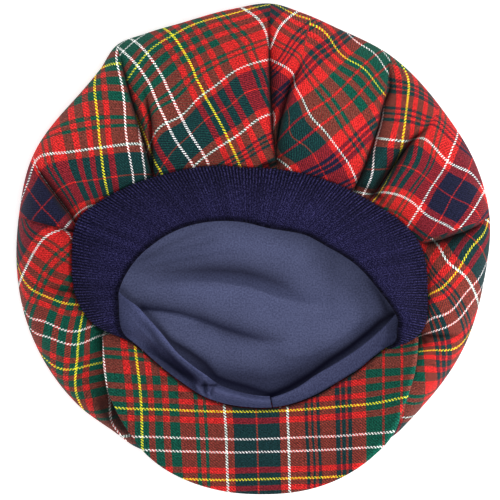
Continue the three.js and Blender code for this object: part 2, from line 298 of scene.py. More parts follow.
class Sum:
    """One output socket of a shader tree."""

    def __init__(self, tree, socket):
        self.tree = tree
        self.socket = socket

    def plug(self, slot, value):
        if isinstance(value, Sum):
            self.tree.links.new(value.socket, slot)
        else:
            slot.default_value = value

    def node(self, kind, inputs=None, out=0, **settings):
        """Adds a node, with inputs given by name or number."""
        made = self.tree.nodes.new("ShaderNode" + kind)
        for key, value in settings.items():
            setattr(made, key, value)
        for key, value in (inputs or {}).items():
            self.plug(made.inputs[key], value)
        return Sum(self.tree, made.outputs[out])

    def math(self, operation, *values):
        inputs = dict(enumerate(values))
        return self.node("Math", inputs, operation=operation)

    def __add__(self, other):
        return self.math("ADD", self, other)

    __radd__ = __add__

    def __sub__(self, other):
        return self.math("SUBTRACT", self, other)

    def __rsub__(self, other):
        return self.math("SUBTRACT", other, self)

    def __mul__(self, other):
        return self.math("MULTIPLY", self, other)

    __rmul__ = __mul__

    def __truediv__(self, other):
        return self.math("DIVIDE", self, other)

    def blend(self, a, b):
        """Colour a where this is 0, and colour b where it is 1."""
        inputs = {"Factor": self, 6: a, 7: b}
        return self.node("Mix", inputs, out=2, data_type="RGBA")

    def tint(self, colour):
        """A colour made lighter or darker by this."""
        inputs = {0: colour, "Scale": self}
        return self.node("VectorMath", inputs, operation="SCALE")


print("sums:", ", ".join(name for name in vars(Sum) if not name.startswith("_")))

# %% Parts of a finish
# How bright the lamps make a white cloth
LIGHT_LEVEL = 1.5


def srgb(red, green, blue):
    """A colour that looks like these screen values of 0 to 255 under the lamps."""
    value = np.array([red, green, blue]) / 255
    linear = np.where(value < 0.04045, value / 12.92, ((value + 0.055) / 1.055) ** 2.4)
    return (*(linear / LIGHT_LEVEL).tolist(), 1.0)


def new_finish(name, colour, roughness, **sockets):
    """A material with one Principled shader, and a handle to its tree."""
    material = bpy.data.materials.new(name)
    material.use_nodes = True
    tree = material.node_tree
    shader = tree.nodes["Principled BSDF"]
    shader.inputs["Base Color"].default_value = colour
    shader.inputs["Roughness"].default_value = roughness
    for key, value in sockets.items():
        shader.inputs[key.replace("_", " ")].default_value = value
    return material, shader, Sum(tree, None)


def noise(handle, where, scale, detail=2.0):
    """A soft noise from 0 to 1."""
    inputs = {"Vector": where, "Scale": scale, "Detail": detail}
    return handle.node("TexNoise", inputs)


def about_one(value, spread):
    """A factor that lies about 1 as a noise lies about a half."""
    return value * spread + (1 - spread / 2)


def fade(handle, value, span, levels=(0.0, 1.0)):
    """Goes from the first level to the second while a value crosses a span."""
    inputs = {"Value": value, "From Min": span[0], "From Max": span[1]}
    inputs.update({"To Min": levels[0], "To Max": levels[1]})
    return handle.node("MapRange", inputs)


def flat_cloth(handle):
    """Where a point lies on the flat cloth, and the same across and along."""
    cloth = handle.node("UVMap", uv_map="cloth")
    across, along = (handle.node("SeparateXYZ", {0: cloth}, out=out) for out in (0, 1))
    return cloth, across, along


def shade_mark(handle):
    """The shade that was written to the vertices."""
    return handle.node("Attribute", out=2, attribute_name="shade")


def raise_by(handle, shader, height, strength, distance):
    """Bumps a finish by a height."""
    inputs = {"Strength": strength, "Distance": distance, "Height": height}
    handle.plug(shader.inputs["Normal"], handle.node("Bump", inputs))


print("light level:", LIGHT_LEVEL)

# %% [markdown]
# The cloth is a twill tartan. Its stripes run the same way in warp and weft, and the row of
# stripes is mirrored at both ends, so half of it is enough. Each thread takes the colour of its
# stripe. In a two-and-two twill a warp thread shows over two wefts and then goes under two, one
# step further on each row, which gives the slanting grain. The UV map says where each point lies
# on the flat cloth, in layout squares. The threads are so fine that the eye mixes them, so some of
# the lower yarn is blended into the upper one, and unlike yarns darken each other where they
# cross. White and yellow yarns are bolder and keep their own colour.

# %% Stripes of the tartan
COLOURS = {
    "red": srgb(250, 51, 50),
    "green": srgb(18, 95, 77),
    "navy": srgb(36, 38, 66),
    "white": srgb(305, 305, 301),
    "yellow": srgb(298, 292, 58),
}
# Stripes from one mirror line to the other, each with its count of threads
STRIPES = [
    ("green", 8), ("white", 3), ("green", 19), ("red", 8), ("green", 7), ("yellow", 3),
    ("green", 7), ("red", 7), ("green", 10), ("red", 8), ("green", 12), ("red", 18),
    ("green", 5), ("red", 7), ("green", 4), ("red", 19), ("white", 3), ("red", 8),
    ("navy", 28), ("red", 3), ("navy", 27), ("red", 10), ("white", 3), ("red", 19),
    ("navy", 5), ("red", 3), ("navy", 4), ("red", 3), ("navy", 5), ("red", 20), ("navy", 5),
    ("red", 3), ("navy", 4), ("red", 3), ("navy", 5), ("red", 18), ("green", 21), ("red", 3),
    ("green", 11),
]
# Squares to a thread
THREAD = 0.8
HALF_SETT = sum(count for _, count in STRIPES)
# A ramp holds 32 stops, so two ramps share the stripes
RAMP_SPLIT = 20


def stripe_ramp(handle, place, first, last):
    """The colour of the thread at a place in the half sett, from some of the stripes."""
    made = handle.node("ValToRGB", {0: place / HALF_SETT})
    ramp = made.socket.node.color_ramp
    ramp.interpolation = "CONSTANT"
    start = sum(count for _, count in STRIPES[:first])
    for row, (colour, count) in enumerate(STRIPES[first:last]):
        stop = ramp.elements[0] if row == 0 else ramp.elements.new(start / HALF_SETT)
        stop.position = 0.0 if row == 0 else start / HALF_SETT
        stop.color = COLOURS[colour]
        start += count
    ramp.elements.remove(ramp.elements[-1])
    return made


def stripe(handle, row):
    """The colour of a thread by its row."""
    folded = handle.math("PINGPONG", row + 0.5, HALF_SETT)
    near = stripe_ramp(handle, folded, 0, RAMP_SPLIT)
    far = stripe_ramp(handle, folded, RAMP_SPLIT, len(STRIPES))
    split = sum(count for _, count in STRIPES[:RAMP_SPLIT])
    return handle.math("GREATER_THAN", folded, split).blend(near, far)


print("tartan:", len(STRIPES), "stripes,", HALF_SETT, "threads to a half sett")

# %% Yarns that cross
# How far unlike yarns darken each other where they cross, by channel and in all
CROSS_TINT = 0.68
CROSS_DARK = 0.45
# A yarn with more green than this is white or yellow
LIGHT_YARN = 0.4


def crossed(handle, warp_colour, weft_colour, strength):
    """How dark two yarns get where they cross: the end of each lies in the other's shade."""

    def vector(operation, a, b):
        return handle.node("VectorMath", {0: a, 1: b}, operation=operation)

    both = vector("MULTIPLY", warp_colour, weft_colour)
    root = handle.node("Gamma", {"Color": both, "Gamma": 0.5})
    likeness = vector("DIVIDE", root, vector("ADD", warp_colour, weft_colour))
    unlike = strength.tint(vector("SUBTRACT", (0.5, 0.5, 0.5), likeness))
    far_apart = handle.node("VectorMath", {0: unlike}, out=1, operation="LENGTH")
    tinted = vector("MULTIPLY", unlike, (CROSS_TINT,) * 3)
    return (1 - far_apart * CROSS_DARK).tint(vector("SUBTRACT", (1, 1, 1), tinted))


def is_light(handle, colour):
    """1 for white and yellow yarns."""
    green = handle.node("SeparateColor", {0: colour}, out=1)
    return handle.math("GREATER_THAN", green, LIGHT_YARN)


print("unlike yarns darken by up to", CROSS_TINT, "by channel and", CROSS_DARK, "in all")

# %% Tartan finish
# Threads to a repeat of the twill, and a quarter turn for the rise and fall of each float
TWILL = 4.0
QUARTER_TURN = 1.57
# How much of the lower yarn shows beside the upper one
MINGLE = 0.35
# How much more light the warp gets, less that of light yarns, and where warp and weft get the same
WARP_LIGHT = 0.45
WARP_LIGHT_LESS = 0.2
WARP_EVEN = 0.55
# How dark floats are at their ends, how much lighter in the middle, and how even light yarns are
FLOAT_END = 0.62
FLOAT_ROUND = 0.6
LIGHT_FLOAT = 0.8
LIGHT_CLEAR = 0.75
# How much yarns, fibres and patches of the cloth differ
YARN_SPREAD = 0.24
FIBRE_SPREAD = 3.8
DARKEST_FIBRE = 0.2
PATCH_SPREAD = 0.6
# How fine the noises of fibres and patches are
FIBRE_SCALE = 0.7
PATCH_SCALE = 0.3
# How much fibres add to the bump, its strength, and its depth in metres
FIBRE_BUMP = 0.6
TARTAN_BUMP = (0.4, 0.0003)
# Keeps the numbers of warp and weft rows apart
WARP_NUMBERS = 1000


def tartan():
    material, shader, handle = new_finish(
        "tartan", (0.5, 0.2, 0.2, 1), 0.9, Sheen_Weight=0.04, Sheen_Roughness=0.5,
        Specular_IOR_Level=0.1,
    )
    cloth, u, v = flat_cloth(handle)
    warp = u / THREAD
    weft = v / THREAD
    warp_row = handle.math("FLOOR", warp)
    weft_row = handle.math("FLOOR", weft)
    warp_colour = stripe(handle, warp_row)
    weft_colour = stripe(handle, weft_row)
    light = handle.math("MAXIMUM", is_light(handle, warp_colour), is_light(handle, weft_colour))
    step = handle.math("FLOORED_MODULO", warp_row - weft_row, TWILL)
    over = handle.math("LESS_THAN", step, TWILL / 2 - 0.5)
    upper = over.blend(weft_colour, warp_colour)
    lower = over.blend(warp_colour, weft_colour)
    mingled = ((1 - light) * MINGLE).blend(upper, lower)
    darker = crossed(handle, warp_colour, weft_colour, 1 - light * LIGHT_CLEAR)
    colour = handle.node("VectorMath", {0: mingled, 1: darker}, operation="MULTIPLY")
    along_warp = handle.math("FLOORED_MODULO", warp_row - weft + 1, TWILL) - 1
    along_weft = handle.math("FLOORED_MODULO", warp - weft_row, TWILL) - 3
    float_place = along_weft + over * (along_warp - along_weft)
    float_round = handle.math("COSINE", float_place * QUARTER_TURN)
    float_round = float_round + light * (LIGHT_FLOAT - float_round)
    # Painted light: warp floats lighter than weft floats, and each float lighter in its middle and
    # darker at its ends where it dips under
    lie = (over - WARP_EVEN) * (WARP_LIGHT - light * WARP_LIGHT_LESS) + 1
    lie = lie * (float_round * FLOAT_ROUND + FLOAT_END)
    upper_row = weft_row + over * (warp_row - weft_row + WARP_NUMBERS)
    yarn = handle.node("TexWhiteNoise", {"W": upper_row}, noise_dimensions="1D")
    fibre = noise(handle, cloth, FIBRE_SCALE)
    patch = noise(handle, cloth, PATCH_SCALE)
    shade = lie * about_one(yarn, YARN_SPREAD) * about_one(patch, PATCH_SPREAD)
    shade = shade * handle.math("MAXIMUM", about_one(fibre, FIBRE_SPREAD), DARKEST_FIBRE)
    lit = shade * (1 - shade_mark(handle))
    handle.plug(shader.inputs["Base Color"], lit.tint(colour))
    round_warp = handle.math("PINGPONG", warp, 0.5)
    round_weft = handle.math("PINGPONG", weft, 0.5)
    crown = round_weft + over * (round_warp - round_weft)
    raise_by(handle, shader, crown + fibre * FIBRE_BUMP, *TARTAN_BUMP)
    return material


tartan_cloth = tartan()
print("finish:", tartan_cloth.name)

# %% [markdown]
# The crown is eight panels. Each is a sheet that starts under the middle of the crown, runs out
# along the floor, turns up round the rim and comes back over to the sewn edge of the opening. The
# section table gives that run. Sculpting could make the creases, but a chart of them is exact and
# can be changed line by line: each row is a line on the layout sheet with its depth at each point,
# and how wide the dip is on its left and right. A second chart of the same form says where the
# cloth lies in shade, and with values below 0 where the light falls.

# %% Creases of the crown
CREASES = [
    # back seam, and the pinch beside it
    ([(268, 3), (269, 45), (270, 89), (272, 128), (276, 160)], [2, 7, 10, 11, 13], 5, 1.2),
    ([(302, 58), (299, 72), (290, 88), (281, 120), (276, 150)], [0, 9, 12, 13, 12], 1.2, 6),
    ([(255, 169), (265, 164), (276, 162)], [0, 10, 12], 2, 3),
    # right back seam, and the pleat beside it
    ([(386, 55), (390, 73), (390, 89), (384, 103), (379, 125), (364, 168), (354, 190)],
     [2, 6, 9, 10, 11, 12, 12], 3.5, 1.3),
    ([(432, 120), (426, 129), (412, 141), (404, 152), (394, 166), (384, 180), (374, 195)],
     [0, 6, 14, 18, 20, 20, 16], 1.2, 4),
    # right seam
    ([(490, 216), (478, 226), (465, 232), (455, 235), (442, 240), (426, 243)],
     [2, 7, 13, 17, 18, 16], 7, 1.3),
    # left back seam, and the crease beside it
    ([(119, 46), (122, 66), (132, 102), (138, 122), (146, 150), (152, 175)],
     [2, 6, 10, 12, 13, 13], 3.5, 1.2),
    ([(141, 85), (147, 99), (151, 121), (152, 147), (153, 176)], [0, 7, 11, 12, 11], 1.2, 4),
    # left seam, and the crease above it
    ([(18, 217), (34, 223), (60, 229), (75, 232)], [1, 4, 6, 8], 3, 2),
    ([(34, 160), (38, 170), (48, 185), (58, 199), (70, 215), (76, 224)],
     [1, 8, 12, 14, 14, 12], 5, 1.4),
    # dents at the left and right of the peak
    ([(21, 280), (45, 287), (73, 291), (82, 292)], [0, 3, 5, 7], 4, 5),
    ([(480, 333), (455, 336), (430, 336), (418, 334)], [0, 3, 7, 8], 4, 4),
]
# Line, darkness, and width to its left and right, of what lies in shade
CROWN_SHADES = [
    # beside the back seam, and the hole at its end
    ([(269, 50), (271, 85), (274, 110), (275, 140), (276, 158)],
     [0.2, 0.4, 0.5, 0.45, 0.5], 6, 1),
    ([(262, 168), (270, 165), (277, 163)], [0.7, 0.95, 0.9], 2, 3),
    # in the right pleat, at its end, and in the right seam
    ([(412, 143), (404, 152), (394, 166), (385, 178)], [0.6, 0.95, 0.97, 0.9], 2.2, 2.2),
    ([(362, 185), (372, 192), (381, 197)], [0.7, 0.9, 0.8], 2.5, 2.5),
    ([(418, 243), (432, 243), (445, 240), (460, 234)], [0.9, 0.95, 0.85, 0.3], 2.5, 1.2),
    # in the left seams and creases
    ([(138, 122), (146, 150), (152, 175)], [0.4, 0.7, 0.9], 1.8, 1.4),
    ([(40, 172), (48, 185), (58, 199), (70, 215), (77, 225)],
     [0.3, 0.6, 0.8, 0.9, 0.9], 1.8, 1.4),
    ([(60, 290), (75, 292), (83, 293)], [0.2, 0.5, 0.8], 2.5, 2.5),
    ([(48, 245), (54, 275), (62, 305)], [0.2, 0.22, 0.12], 14, 12),
    # beside the peak
    ([(105, 345), (108, 380), (112, 398), (117, 410), (124, 424), (133, 436), (142, 447)],
     [0.1, 0.3, 0.75, 0.85, 0.85, 0.85, 0.8], 4, 8),
    ([(109, 392), (110.5, 402), (114, 415), (122, 430)], [0.4, 0.7, 0.75, 0.75], 2.5, 2.5),
    ([(99, 394), (101, 403), (105, 414), (110, 424)], [0.35, 0.75, 0.82, 0.8], 3.8, 3.8),
    ([(101, 334), (101, 350)], [0.8, 0.5], 2, 3),
    ([(420, 340), (417, 352), (415, 365), (412, 382)], [0.8, 0.75, 0.75, 0.4], 1.6, 4),
    ([(402, 412), (400, 420), (396, 429), (388, 442)], [0.4, 0.85, 0.95, 0.95], 2.5, 4),
    ([(420, 333), (426, 342)], [0.85, 0.8], 2, 2.5),
    # and where the light falls
    ([(300, 40), (330, 80), (352, 125)], [-0.1, -0.16, -0.16], 22, 22),
    ([(50, 160), (80, 120), (108, 85)], [-0.12, -0.18, -0.15], 22, 22),
    ([(440, 290), (460, 320), (440, 360)], [-0.1, -0.1, -0.1], 15, 15),
]
# How deep a crease still is at the opening, and the share of the way back where that starts
CREASE_END = 0.6
CREASE_END_FROM = 0.85
# The share of the way back from the rim over which creases begin
CREASE_BEGIN = 0.12
# How dark the painted shade at the bottom of a deep crease is, from which depth on, how wide
# it is, and how much more for each millimetre of depth
CREASE_DARK = 0.88
CREASE_DEEP = 8
CREASE_LINE = 0.5
CREASE_LINE_MORE = 0.08
# A dip wider than this has a wider line on that side
WIDE_DIP = 2
WIDE_LINE = 1.3
NARROW_LINE = 0.8


def dent(plan, share):
    """How far the creases pull the crown down, and how dark their painted shade is."""
    depth = np.zeros(plan.shape[:-1])
    dark = np.zeros(plan.shape[:-1])
    for line, depths, wide_left, wide_right in CREASES:
        along, left = track(line, plan)
        deep = np.interp(along, np.linspace(0, 1, len(depths)), depths)
        width = np.where(left > 0, wide_left, wide_right)
        depth = np.maximum(depth, deep * np.exp(-np.abs(left / width)))
        thin = CREASE_LINE + CREASE_LINE_MORE * deep
        thin = thin * np.where(width > WIDE_DIP, WIDE_LINE, NARROW_LINE)
        line_dark = np.exp(-((left / thin) ** 2)) * np.clip(deep / CREASE_DEEP, 0, 1)
        dark = np.maximum(dark, CREASE_DARK * line_dark)
    begun = ease(share, 0, CREASE_BEGIN)
    depth = depth * begun * mix(1, CREASE_END, ease(share, CREASE_END_FROM, 1))
    return depth, dark * begun


print("creases:", len(CREASES), "shades:", len(CROWN_SHADES))

# A least-squares fit then finds the smooth bend of the flat cloth that brings those lines through
# those points. Across a pleat the fit may also jump, because a pleat hides some cloth. Marks
# beside the longer lines keep the cloth there at its true width. What the fit still misses is
# pulled into place near each point. Unwrapping the panels and dragging UV islands would do all
# this by eye.

# %% Chart of the check
# Each line has its place in the sett, in squares, and points on the layout sheet
CHART = {
    "back_left": {
        "warp": [
            (-7.75, [(123, 51), (145, 76), (161, 110), (177, 143), (193, 167)]),
            (7.75, [(135, 41), (159, 71), (181, 115), (203, 154)]),
            (37.2, [(164, 29), (183, 52), (203, 94), (228, 140), (240, 167)]),
            (117, [(243, 9), (260, 23), (269, 45)]),
        ],
        "weft": [
            (7.75, [(119, 55), (135, 41)]),
            (37.2, [(126, 79), (147, 52), (192, 24), (243, 9)]),
            (117, [(168, 122), (181, 115), (218, 84), (267, 58)]),
            (148.6, [(169, 156), (196, 128), (243, 97), (269, 88)]),
            (180, [(193, 167), (228, 140), (270, 115)]),
        ],
    },
    "back_right": {
        "warp": [
            (180, [(270, 45), (275, 34), (282, 23), (296, 11)]),
            (204.6, [(297, 37), (312, 20)]),
            (237.2, [(319, 55), (335, 44)]),
            (268, [(293, 113), (337, 79), (347, 69)]),
            (286.75, [(303, 126), (349, 92), (358, 82)]),
            (305.5, [(315, 142), (361, 103), (370, 94)]),
            (336.3, [(330, 164), (343, 154), (374, 125)]),
        ],
        "weft": [
            (-7.75, [(384, 51), (388, 57)]),
            (7.75, [(353, 37), (376, 55), (391, 74)]),
            (37.2, [(288, 8), (310, 19), (334, 43), (365, 68), (388, 96)]),
            (117, [(271, 61), (285, 66), (303, 98), (310, 113), (331, 138), (357, 180)]),
            (148.6, [(288, 128), (301, 142), (320, 167), (330, 185)]),
            (180, [(275, 117), (283, 163), (293, 173)]),
        ],
    },
    "right_upper": {
        "warp": [
            (7.75, [(379, 126), (374, 157), (368, 185)]),
            (37.2, [(405, 71), (407, 101), (402, 140), (397, 157)]),
            (117, [(458, 133), (447, 161), (426, 195), (407, 227)]),
            (148.6, [(471, 164), (451, 199), (428, 236)]),
            (180, [(484, 192), (472, 213)]),
        ],
        "weft": [
            (237.2, [(395, 87), (407, 88)]),
            (204.6, [(388, 114), (405, 115)]),
            (180, [(376, 138), (397, 140), (423, 139), (447, 161), (477, 180)]),
            (148.6, [(371, 169), (382, 169), (423, 175), (451, 197), (472, 207)]),
            (117, [(407, 200), (426, 216), (450, 229)]),
        ],
    },
    "left_upper": {
        "warp": [
            (-148.6, [(30, 192), (42, 207), (57, 223)]),
            (-117, [(35, 162), (39, 172)]),
            (-68.6, [(75, 169)]),
            (-37.2, [(95, 79), (98, 115), (104, 166), (108, 190)]),
            (-7.75, [(117, 55), (124, 108), (134, 185)]),
            (7.75, [(139, 128), (145, 177)]),
        ],
        "weft": [
            (37.2, [(103, 66), (118, 62)]),
            (117, [(25, 186), (35, 162), (69, 151), (102, 146), (143, 144)]),
            (148.6, [(32, 220), (42, 207), (62, 187), (85, 181), (105, 178), (145, 175)]),
            (180, [(63, 229), (75, 216), (83, 209)]),
        ],
    },
    "left_lower": {
        "warp": [
            (7.75, [(104, 335), (107, 385), (110, 418)]),
            (26.9, [(87, 374), (87, 387), (91, 403)]),
            (37.2, [(84, 314), (79, 344), (76, 379), (81, 407)]),
            (68.6, [(50, 324)]),
            (90.1, [(32, 316), (51, 274), (69, 255)]),
            (117, [(21, 279), (34, 254), (55, 232), (64, 228)]),
        ],
        "weft": [
            (-117, [(64, 228), (73, 241)]),
            (-90.1, [(56, 255), (64, 261)]),
            (-68.6, [(44, 267), (51, 274)]),
            (-37.2, [(27, 286), (46, 297), (64, 304), (79, 306)]),
            (-7.75, [(26, 314), (49, 324), (69, 331), (95, 326)]),
            (7.75, [(32, 330), (52, 339), (79, 344), (100, 335)]),
            (37.2, [(45, 359), (65, 369), (86, 365), (104, 361)]),
            (54.6, [(98, 378)]),
            (68.6, [(98, 392)]),
        ],
    },
    "front_left": {
        "warp": [(7.75, [(107, 385), (110, 418)]), (148.6, [(245, 430), (250, 460)])],
        "weft": [(54.6, [(98, 378), (200, 420)]), (90, [(110, 412), (200, 452)])],
    },
    "front_right": {
        "warp": [(268, [(418, 363), (417, 380)]), (160, [(300, 430), (300, 450)])],
        "weft": [(68.6, [(418, 376)]), (117, [(405, 417)]), (110, [(300, 440)])],
    },
    "right_lower": {
        "warp": [
            (117, [(482, 214), (489, 220)]),
            (148.6, [(478, 243), (487, 260)]),
            (180, [(439, 245), (450, 264), (459, 270), (472, 287), (477, 298)]),
            (204.6, [(459, 305), (463, 313)]),
            (237.2, [(435, 319), (440, 331), (444, 348), (444, 363)]),
            (268, [(418, 363), (418, 376)]),
        ],
        "weft": [
            (-37.2, [(489, 220), (478, 241), (459, 270), (437, 292)]),
            (-7.75, [(487, 266), (472, 287), (454, 309), (428, 321)]),
            (7.75, [(482, 289), (467, 308), (447, 326), (431, 333)]),
            (37.2, [(470, 335), (456, 347), (432, 349)]),
            (54.6, [(418, 363)]),
            (68.6, [(418, 376)]),
            (90.1, [(412, 396)]),
            (117, [(405, 417)]),
        ],
    },
    "peak": {
        "warp": [
            (37.2, [(135, 349), (138, 377), (141, 408), (142, 448)]),
            (117, [(223, 404), (225, 428), (227, 478)]),
            (148.6, [(256, 422), (258, 473)]),
            (180, [(287, 408), (289, 477)]),
            (204.6, [(312, 423), (314, 469)]),
            (237.2, [(343, 389), (344, 463)]),
            (286.75, [(392, 372), (391, 423)]),
            (305.5, [(410, 366)]),
        ],
        "weft": [
            (-99.4, [(116, 349), (400, 346)]),
            (-68.6, [(119, 379), (374, 374)]),
            (-37.2, [(117, 407), (167, 410), (224, 412), (288, 411), (340, 407), (408, 398)]),
            (-7.75, [(132, 435), (198, 438), (256, 439), (340, 435), (395, 430)]),
            (7.75, [(144, 449), (198, 451), (256, 452), (340, 449), (384, 446)]),
            (37.2, [(182, 477), (227, 478), (289, 477), (346, 475)]),
        ],
    },
}
# The creases that hide cloth inside a panel, by their rows in the chart of creases
PLEATS = {"back_right": [1], "right_upper": [4], "back_left": [7], "left_upper": [9]}
# Panels whose pleat opens gradually from its outer end, and over which share of it
OPENING_PLEATS = ("back_left",)
PLEAT_OPEN = 0.3
# Millimetres over which the check jumps at a pleat
PLEAT_WIDTH = 2.0
charted = [line for panel in CHART.values() for lines in panel.values() for line in lines]
print("chart:", len(charted), "lines,", sum(len(points) for _, points in charted), "points")

# %% Fit of the check
# Squares that count as 1 in the fit, so that its terms are of one size
REACH = 60.0
# Vertices that stand for a charted point, and how far off the nearest may lie, in millimetres
NEIGHBOURS = 4
FAR_OFF = 4.0
# Added to the distance of a vertex, so that one right on a point doesn't count for all
NEAREST = 0.1
# How much bends and jumps are held back
GIVE = 0.02
# How far a pull reaches, in millimetres, and how much pulls are held back
PULL_REACH = 15.0
PULL_CALM = 0.08
# Squares from a charted line to the marks beside it
BESIDE = 5


def bend_terms(a, b, jumps, degree):
    """What the fit may add up: a plane, a bend, and a jump at each pleat."""
    a, b = a / REACH, b / REACH
    terms = [np.ones_like(a), a, b]
    if degree == 2:
        terms += [a * a, a * b, b * b]
    for jump in jumps:
        terms += [jump, jump * b]
    return np.stack(terms, -1)


def beside(lines):
    """Marks a little to both sides of charted lines, where the cloth lies unstretched."""
    marks = [(value, plan_of(points)) for value, points in lines]
    made = []
    for value, points in marks:
        if len(points) < 3:
            continue
        ways = np.gradient(points, axis=0)
        square = np.stack([-ways[:, 1], ways[:, 0]], -1)
        square = square / np.linalg.norm(square, axis=1, keepdims=True)
        for point, way in zip(points, square):
            pull = 0.0
            for other, spots in marks:
                away = spots - point
                pull += ((other - value) * (away @ way) / ((away**2).sum(1) + 1)).sum()
            for step in (-BESIDE, BESIDE):
                made.append((value + step, point + np.sign(pull) * way * step * SQUARE))
    return made


def nearness(places, others):
    """1 for places that meet, falling smoothly to 0 for places far apart."""
    off = np.linalg.norm(places[:, None] - others[None], axis=-1)
    return np.exp(-((off / PULL_REACH) ** 2))


def charted_marks(lines, terms, spots, slack):
    """The fit's terms at each mark on or beside charted lines, its value and its place."""
    marks = [(value, point) for value, points in lines for point in plan_of(points)]
    wanted, goals, pulls = [], [], []
    for value, point in marks + (beside(lines) if slack else []):
        off = np.linalg.norm(spots - point, axis=1)
        near = np.argsort(off)[:NEIGHBOURS]
        if off[near[0]] > FAR_OFF:
            continue
        weight = 1 / (off[near] + NEAREST)
        wanted.append(weight @ terms[near] / weight.sum())
        goals.append(value)
        pulls.append(point)
    return np.array(wanted), np.array(goals), np.array(pulls)


def pin_check(name, plan, a, b, shown, jumps=(), degree=2, limit=np.inf, slack=True):
    """Where each vertex lies on the flat cloth, in squares, so that the chart is met."""
    held = np.minimum(b, limit)
    terms = bend_terms(a, held, jumps, degree)
    cloth = []
    for thread in ("warp", "weft"):
        wanted, goals, pulls = charted_marks(CHART[name][thread], terms[shown], plan[shown], slack)
        calm = np.eye(wanted.shape[1]) * GIVE * len(goals)
        calm[:3] = 0
        fit = np.linalg.lstsq(
            np.vstack([wanted, calm]), np.concatenate([goals, np.zeros(len(calm))]), rcond=None
        )[0]
        left_over = goals - wanted @ fit
        missed = np.abs(left_over).mean().round(1)
        print(" ", name, thread, "misses its chart by", missed, "squares before the pulls")
        slope = fit[2] / REACH
        if degree == 2:
            slope = slope + 2 * fit[5] * np.minimum(limit, b.max()) / REACH**2
        shared = nearness(pulls, pulls) + PULL_CALM * np.eye(len(pulls))
        strength = np.linalg.solve(shared, left_over)
        pulled = nearness(plan.reshape(-1, 2), pulls) @ strength
        cloth.append(terms @ fit + (b - held) * slope + pulled.reshape(a.shape))
    return np.stack(cloth, -1)


print("fit: each pull reaches about", PULL_REACH, "mm")

# %% [markdown] Now the panels themselves. Each is a grid of twelve thousand faces, so the dips
# stay smooth. The cloth's own length along and across the panel comes from adding up the distances
# between neighbouring vertices. The Solidify modifier then gives the sheet its thickness.

# %% Form of a panel
# Heights, greatest bulge, thickness and lap under the seam, in millimetres
RIM_HEIGHT = 25
SEAM_HEIGHT = 42
PANEL_BULGE = 9
CROWN_CLOTH = 1.6
CROWN_LAP = 3.5
# Name, angle at the outline, angle at the opening, puff
PANELS = [
    ("right_upper", 7.3, 15.6, 1.0), ("back_right", 54.6, 43.6, 1.0),
    ("back_left", 86, 77, 1.0), ("left_upper", 124, 131, 1.0),
    ("left_lower", 172.5, 161.8, 0.9), ("front_left", 242, 205, 0.35),
    ("front_right", 270, 275.8, 0.1), ("right_lower", 304, 338, 0.35),
]
# Share of the way out to the rim, share of the way back to the opening, tuck, climb, bulge
SECTION = [
    (0.012, 0, 0, 0, 0), (0.35, 0, 0, 0, 0), (0.66, 0, 0, 0, 0), (0.8, 0, 0, 0.06, 0),
    (0.9, 0, 0, 0.22, 0), (0.965, 0, 0, 0.5, 0), (0.993, 0, 0, 0.78, 0),
    (1, 0, 0, 1, 0), (1, 0.05, 0, 1.36, 0.15), (1, 0.13, 0, 1.62, 0.4),
    (1, 0.26, 0, 1.82, 0.7), (1, 0.42, 0, 1.93, 0.95), (1, 0.6, 0, 1.98, 1.0),
    (1, 0.78, 0, 2, 0.75), (1, 0.9, 0, 2, 0.35), (1, 0.96, 0, 2, 0), (1, 1, 1, 2, 0),
]
# The section's row at the rim, and steps from row to row before and after it
RIM_ROW = 7
STEPS_OUT = 3
STEPS_BACK = 6
# Lines across a panel, and how closely they crowd at its seams
LINES_OVER = 161
EDGE_CROWDING = 0.08
# Seams whose line bows sideways between outline and opening, in millimetres
SEAM_BOWS = {"back_right": -5.0, "back_left": 2.4}
# The share of a panel's width that a bow reaches over
BOW_REACH = 0.6


def section_rows():
    """The columns of the section, with steps between its rows."""
    last = len(SECTION) - 1
    out = np.linspace(0, RIM_ROW, RIM_ROW * STEPS_OUT + 1)
    back = np.linspace(RIM_ROW, last, (last - RIM_ROW) * STEPS_BACK + 1)
    rows = np.concatenate([out, back[1:]])
    return [curve(range(last + 1), column)(rows) for column in columns(SECTION)]


def seam_bow(t, index):
    """How far a seam's bow moves the lines near it sideways."""
    here = SEAM_BOWS.get(PANELS[index][0], 0.0)
    following = SEAM_BOWS.get(PANELS[(index + 1) % len(PANELS)][0], 0.0)
    return here * (1 - ease(t, 0, BOW_REACH)) + following * ease(t, 1 - BOW_REACH, 1)


def panel_form(index):
    """A panel before its creases: plan, height, share of the way back, and climb."""
    _, rim_from, seam_from, puff_from = PANELS[index]
    _, rim_to, seam_to, puff_to = PANELS[(index + 1) % len(PANELS)]
    turn = 360 if index == len(PANELS) - 1 else 0
    t = np.linspace(0, 1, LINES_OVER)
    t = t - EDGE_CROWDING * np.sin(2 * np.pi * t)
    rim = outline_point(mix(rim_from, rim_to + turn, t))[:, None]
    seam = mix(seam_from, seam_to + turn, t)
    edge = opening_point(seam)[:, None]
    tucked = opening_point(seam, CROWN_LAP)[:, None]
    out, back, tuck, climb, bulge = (np.array(c)[None, :, None] for c in section_rows())
    plan = rim * out + (edge - rim) * back + (tucked - edge) * tuck
    across = np.gradient(rim[:, 0], axis=0)
    across = across / np.linalg.norm(across, axis=1, keepdims=True)
    bow = seam_bow(t, index)[:, None, None] * 4 * back * (1 - back)
    plan = plan + across[:, None] * bow
    back, climb, bulge = back[..., 0], climb[..., 0], bulge[..., 0]
    height = np.where(climb < 1, climb * RIM_HEIGHT, mix(RIM_HEIGHT, SEAM_HEIGHT, climb - 1))
    puff = mix(puff_from, puff_to, ease(t, 0, 1))[:, None]
    return plan, height + puff * PANEL_BULGE * bulge, back, climb


print("panels:", ", ".join(name for name, *_ in PANELS))

# %% Crown panels
# How dark the painted shade beside the band is, where it ends and starts, in squares from its edge
EDGE_DARK = 0.85
EDGE_FADE = (11.0, 6.5)
